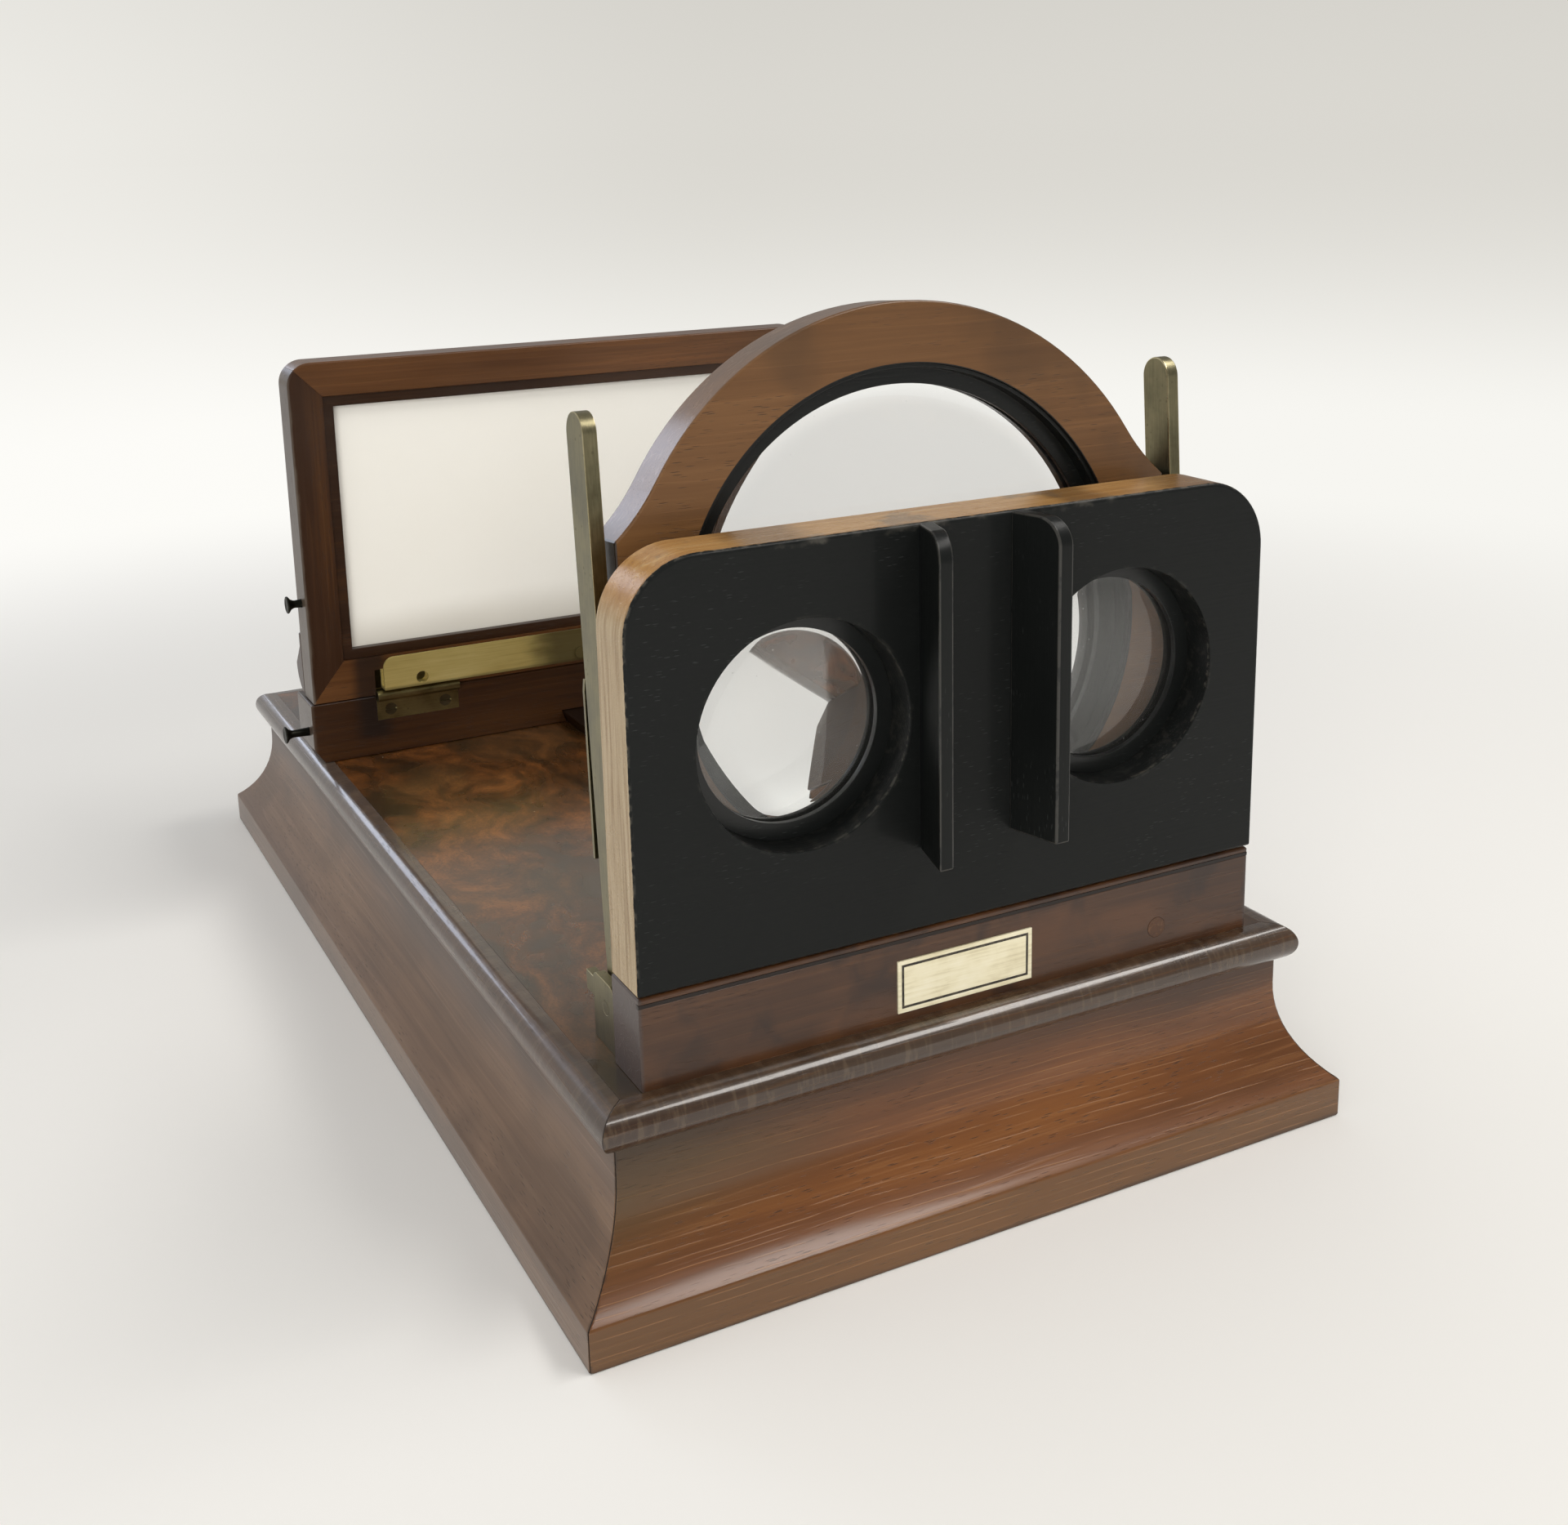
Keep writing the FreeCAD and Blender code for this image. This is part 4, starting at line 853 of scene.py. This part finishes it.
# Turned pieces: a circle extruded ring by ring along a profile of heights and radii
def turned(node, profile, place, toward, sides):
    bpy.ops.object.select_all(action="DESELECT")
    bpy.ops.mesh.primitive_circle_add(vertices=sides, radius=profile[0][1], fill_type="NOTHING")
    piece = bpy.context.object
    piece.name = "turned_" + node
    bpy.ops.object.mode_set(mode="EDIT")
    bpy.ops.mesh.select_all(action="SELECT")
    bpy.ops.transform.translate(value=(0.0, 0.0, profile[0][0]))
    last = profile[0]
    for height, radius in profile[1:]:
        bpy.ops.mesh.extrude_edges_move(TRANSFORM_OT_translate={"value": (0.0, 0.0, height - last[0])})
        grow = radius / last[1]
        bpy.ops.transform.resize(value=(grow, grow, 1.0), center_override=(0.0, 0.0, height))
        last = (height, radius)
    bpy.ops.mesh.select_all(action="SELECT")
    bpy.ops.mesh.remove_doubles(threshold=0.00002)
    bpy.ops.mesh.normals_make_consistent(inside=False)
    bpy.ops.object.mode_set(mode="OBJECT")
    piece.location = place
    piece.rotation_euler = Vector(toward).to_track_quat("Z", "Y").to_euler()
    bpy.ops.object.transform_apply(location=True, rotation=True, scale=True)
    bpy.ops.object.shade_smooth_by_angle(angle=math.radians(30.0))
    piece.data.materials.append(materials[finishOf[node]])
    settle(piece, node)


pole = 0.000004
lensShapes = {
    "rings": 10,
    "eye": {"clear": 0.0208, "rim": 0.0245, "edge": 0.0034, "bulge": 0.0014},
    "large": {"clear": 0.0521, "rim": 0.0566, "edge": 0.0035, "bulge": 0.0040},
    "eyeX": 0.0396,
    "eyeY": -0.1471,
    "eyeZ": 0.1171,
    "pivot": (0.0, -0.1362, 0.0575),
    "largeReach": 0.00275,
    "largeRise": 0.0726,
}


def lensProfile(shape):
    # pole to pole along the lens's axis, the middle of its thickness at 0
    clear = shape["clear"]
    bulge = shape["bulge"]
    sphere = (clear * clear + bulge * bulge) / (2.0 * bulge)
    rings = lensShapes["rings"]
    dome = []
    for index in range(rings + 1):
        radius = max(clear * index / rings, pole)
        dome.append((bulge - sphere + math.sqrt(sphere * sphere - radius * radius), radius))
    half = shape["edge"] / 2.0
    low = [(-half - rise, radius) for rise, radius in dome]
    high = [(half + rise, radius) for rise, radius in reversed(dome)]
    return low + [(-half, shape["rim"]), (half, shape["rim"])] + high


def onStand(reach, rise):
    # a point of the upright stand, leaned back and set on its pivot
    x, y, z = lensShapes["pivot"]
    back = reach * math.cos(lean) + rise * math.sin(lean)
    up = rise * math.cos(lean) - reach * math.sin(lean)
    return (x, y + back, z + up)


for side, name in ((-1, "stereo_lens_left"), (1, "stereo_lens_right")):
    turned(name, lensProfile(lensShapes["eye"]),
           (side * lensShapes["eyeX"], lensShapes["eyeY"], lensShapes["eyeZ"]), (0.0, 1.0, 0.0), 96)
turned("magnifier_lens", lensProfile(lensShapes["large"]),
       onStand(lensShapes["largeReach"], lensShapes["largeRise"]),
       (0.0, math.cos(lean), -math.sin(lean)), 128)


# Catch pins: a shank that thins to a neck, and a head hollowed like a trumpet
pins = {
    "carriage_catch_pin": {"face": -0.0889, "z": 0.0577, "reach": 0.0075},
    "screen_catch_pin": {"face": -0.0879, "z": 0.0988, "reach": 0.0046},
    "y": 0.0810,
    "seat": 0.0060,
    "shank": 0.00135,
    "head": 0.00268,
    "headLong": 0.0021,
}

for name in ("carriage_catch_pin", "screen_catch_pin"):
    reach = pins[name]["reach"]
    shank = pins["shank"]
    head = pins["head"]
    neck = reach - pins["headLong"]
    profile = [(-pins["seat"], pole), (-pins["seat"], shank), (0.00005, shank),
               (neck - 0.0005, shank * 0.86), (neck, shank * 0.92), (neck + 0.0008, shank * 1.22),
               (reach - 0.0007, head * 0.93), (reach - 0.0004, head), (reach - 0.00012, head * 0.97),
               (reach, head * 0.86), (reach - 0.0002, head * 0.55), (reach - 0.0003, pole)]
    turned(name, profile, (pins[name]["face"], pins["y"], pins[name]["z"]), (-1.0, 0.0, 0.0), 40)


# Plaque: left bare, with an engraved and inked border
plaque = {"margin": 0.00095, "line": 0.00062, "sink": 0.00010, "arris": 0.00022}


def addPlaque():
    low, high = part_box("blank_plaque")
    bpy.ops.object.select_all(action="DESELECT")
    bpy.ops.mesh.primitive_cube_add(size=1.0, location=(low + high) / 2.0, scale=high - low)
    piece = bpy.context.object
    piece.name = "plaque"
    bpy.ops.object.transform_apply(location=True, rotation=True, scale=True)
    piece.data.materials.append(materials["ivory"])
    piece.data.materials.append(materials["ink"])
    bpy.ops.object.mode_set(mode="EDIT")
    bpy.ops.mesh.select_mode(type="FACE")
    mesh = bmesh.from_edit_mesh(piece.data)
    for face in mesh.faces:
        face.select = face.normal.y < -0.9
    bmesh.update_edit_mesh(piece.data)
    bpy.ops.mesh.inset(thickness=plaque["margin"])
    bpy.ops.mesh.inset(thickness=plaque["line"])
    mesh = bmesh.from_edit_mesh(piece.data)
    inner = [face for face in mesh.faces if face.select][0]
    around = {face for edge in inner.edges for face in edge.link_faces if face is not inner}
    for face in mesh.faces:
        face.select = face in around
        face.material_index = 1 if face in around else 0
    bmesh.update_edit_mesh(piece.data)
    bpy.ops.mesh.extrude_region_move(TRANSFORM_OT_translate={"value": (0.0, plaque["sink"], 0.0)})
    bpy.ops.object.mode_set(mode="OBJECT")
    roundOver(piece, plaque["arris"], 60.0)
    evenShading(piece, 30.0)
    settle(piece, "blank_plaque")


addPlaque()
print("stage: turned pieces and plaque added")


# Studio: a pale floor that melts into a pale room; a strip lamp at the right, a window behind and a broad
# lamp in front
studio = {
    "floorColour": (0.920, 0.911, 0.886),
    "nearLeft": (0.980, 0.970, 0.935),
    "nearRight": (0.930, 0.920, 0.880),
    "farLeft": (0.850, 0.835, 0.790),
    "farRight": (0.700, 0.682, 0.635),
    "left": 0.02,
    "right": 0.46,
    "nearness": 0.95,
    "high": 0.93,
    "highRise": 0.12,
    "windowStart": -0.3,
    "windowFull": 0.95,
    "floorReach": 30.0,
    "fadeStart": 0.30,
    "fadeEnd": 0.76,
    "roomLow": 0.27,
    "roomHigh": 0.74,
}

lamps = [
    {"name": "stripLamp", "place": (0.60, -0.50, 1.12), "aim": (0.02, -0.16, 0.03), "size": (0.95, 0.30),
     "power": 7.5, "colour": (1.0, 0.970, 0.93), "glossy": True},
    {"name": "windowLamp", "place": (-0.42, 1.35, 0.62), "aim": (0.0, 0.0, 0.10), "size": (0.42, 0.30),
     "power": 1.8, "colour": (0.74, 0.82, 1.0), "glossy": True},
    {"name": "roomLamp", "place": (-0.85, -1.50, 0.60), "aim": (0.0, 0.0, 0.08), "size": (1.2, 0.9),
     "power": 17.0, "colour": (1.0, 0.970, 0.93), "glossy": False},
]


def addLamps():
    for lamp in lamps:
        bpy.ops.object.light_add(type="AREA", location=lamp["place"])
        light = bpy.context.object
        light.name = lamp["name"]
        light.data.shape = "RECTANGLE"
        light.data.size = lamp["size"][0]
        light.data.size_y = lamp["size"][1]
        light.data.energy = lamp["power"]
        light.data.color = lamp["colour"]
        light.visible_glossy = lamp["glossy"]
        look = Vector(lamp["aim"]) - Vector(lamp["place"])
        light.rotation_euler = look.to_track_quat("-Z", "Y").to_euler()


def skyColour(paint, nearness, sideways):
    # from the far tone at the horizon to the near tone, and darker to the right
    right = paint.fade(sideways, studio["left"], studio["right"])
    far = paint.blend(right, studio["farLeft"], studio["farRight"])
    near = paint.blend(right, studio["nearLeft"], studio["nearRight"])
    return paint.blend(paint.fade(nearness, 0.0, studio["nearness"]), far, near)


def directRays(paint):
    # 1 for what the camera sees, also through glass
    rays = paint.node("ShaderNodeLightPath").socket.node.outputs
    direct = Wire(paint, rays["Is Camera Ray"]) + Wire(paint, rays["Is Transmission Ray"])
    return paint.fade(direct, 0.0, 1.0)


def addRoom():
    world = bpy.data.worlds.new("studioRoom")
    world.use_nodes = True
    scene.world = world
    paint = Paint("studioRoom", world.node_tree)
    x, y, z = paint.split(paint.node("ShaderNodeTexCoord", out="Generated"))
    seen = skyColour(paint, z * 0.0, x)
    dimmed = paint.blend(1.0, seen, (studio["high"],) * 3, "MULTIPLY")
    seen = paint.blend(paint.fade(z, 0.0, studio["highRise"]), seen, dimmed)
    toWindow = paint.fade(y * 0.5 - x * 0.8 + z * 0.2, studio["windowStart"], studio["windowFull"])
    strength = studio["roomLow"] + toWindow * (studio["roomHigh"] - studio["roomLow"])
    plain = paint.node("ShaderNodeBackground", None, {"Color": (1, 0.99, 0.97, 1), "Strength": strength})
    shown = paint.node("ShaderNodeBackground", None, {"Color": seen, "Strength": 1.0})
    mixed = paint.node("ShaderNodeMixShader", None, {0: directRays(paint), 1: plain, 2: shown})
    paint.node("ShaderNodeOutputWorld", None, {"Surface": mixed})


def addFloor():
    bpy.ops.object.select_all(action="DESELECT")
    bpy.ops.mesh.primitive_circle_add(vertices=96, radius=studio["floorReach"], fill_type="NGON")
    floor = bpy.context.object
    floor.name = "paperFloor"
    paint = Paint("palePaper")
    point = paint.point()
    x, y, z = paint.split(point)
    grit = paint.noise(paint.stretch(point, (300.0, 300.0, 300.0)), 3.0, 0.6)
    cloud = paint.noise(paint.stretch(point, (3.0, 3.0, 3.0)), 2.0)
    dull = tuple(part * 0.95 for part in studio["floorColour"])
    colour = paint.blend(cloud * 0.3, studio["floorColour"], dull)
    bump = paint.node("ShaderNodeBump", None, {"Height": grit, "Distance": 0.0001, "Strength": 0.15})
    paper = {"Base Color": colour, "Roughness": 0.75, "Specular IOR Level": 0.15, "Normal": bump}
    shader = paint.node("ShaderNodeBsdfPrincipled", None, paper, "BSDF")
    reach = paint.node("ShaderNodeVectorMath", {"operation": "LENGTH"}, {0: point}, "Value")
    far = paint.fade(reach, studio["fadeStart"], studio["fadeEnd"]) * directRays(paint)
    seen = skyColour(paint, 1.0 / reach, x / reach)
    glow = paint.node("ShaderNodeEmission", None, {"Color": seen, "Strength": 1.0})
    mixed = paint.node("ShaderNodeMixShader", None, {0: far, 1: shader, 2: glow})
    paint.node("ShaderNodeOutputMaterial", None, {"Surface": mixed})
    floor.data.materials.append(paint.material)


addLamps()
addRoom()
addFloor()
print("stage: studio set")
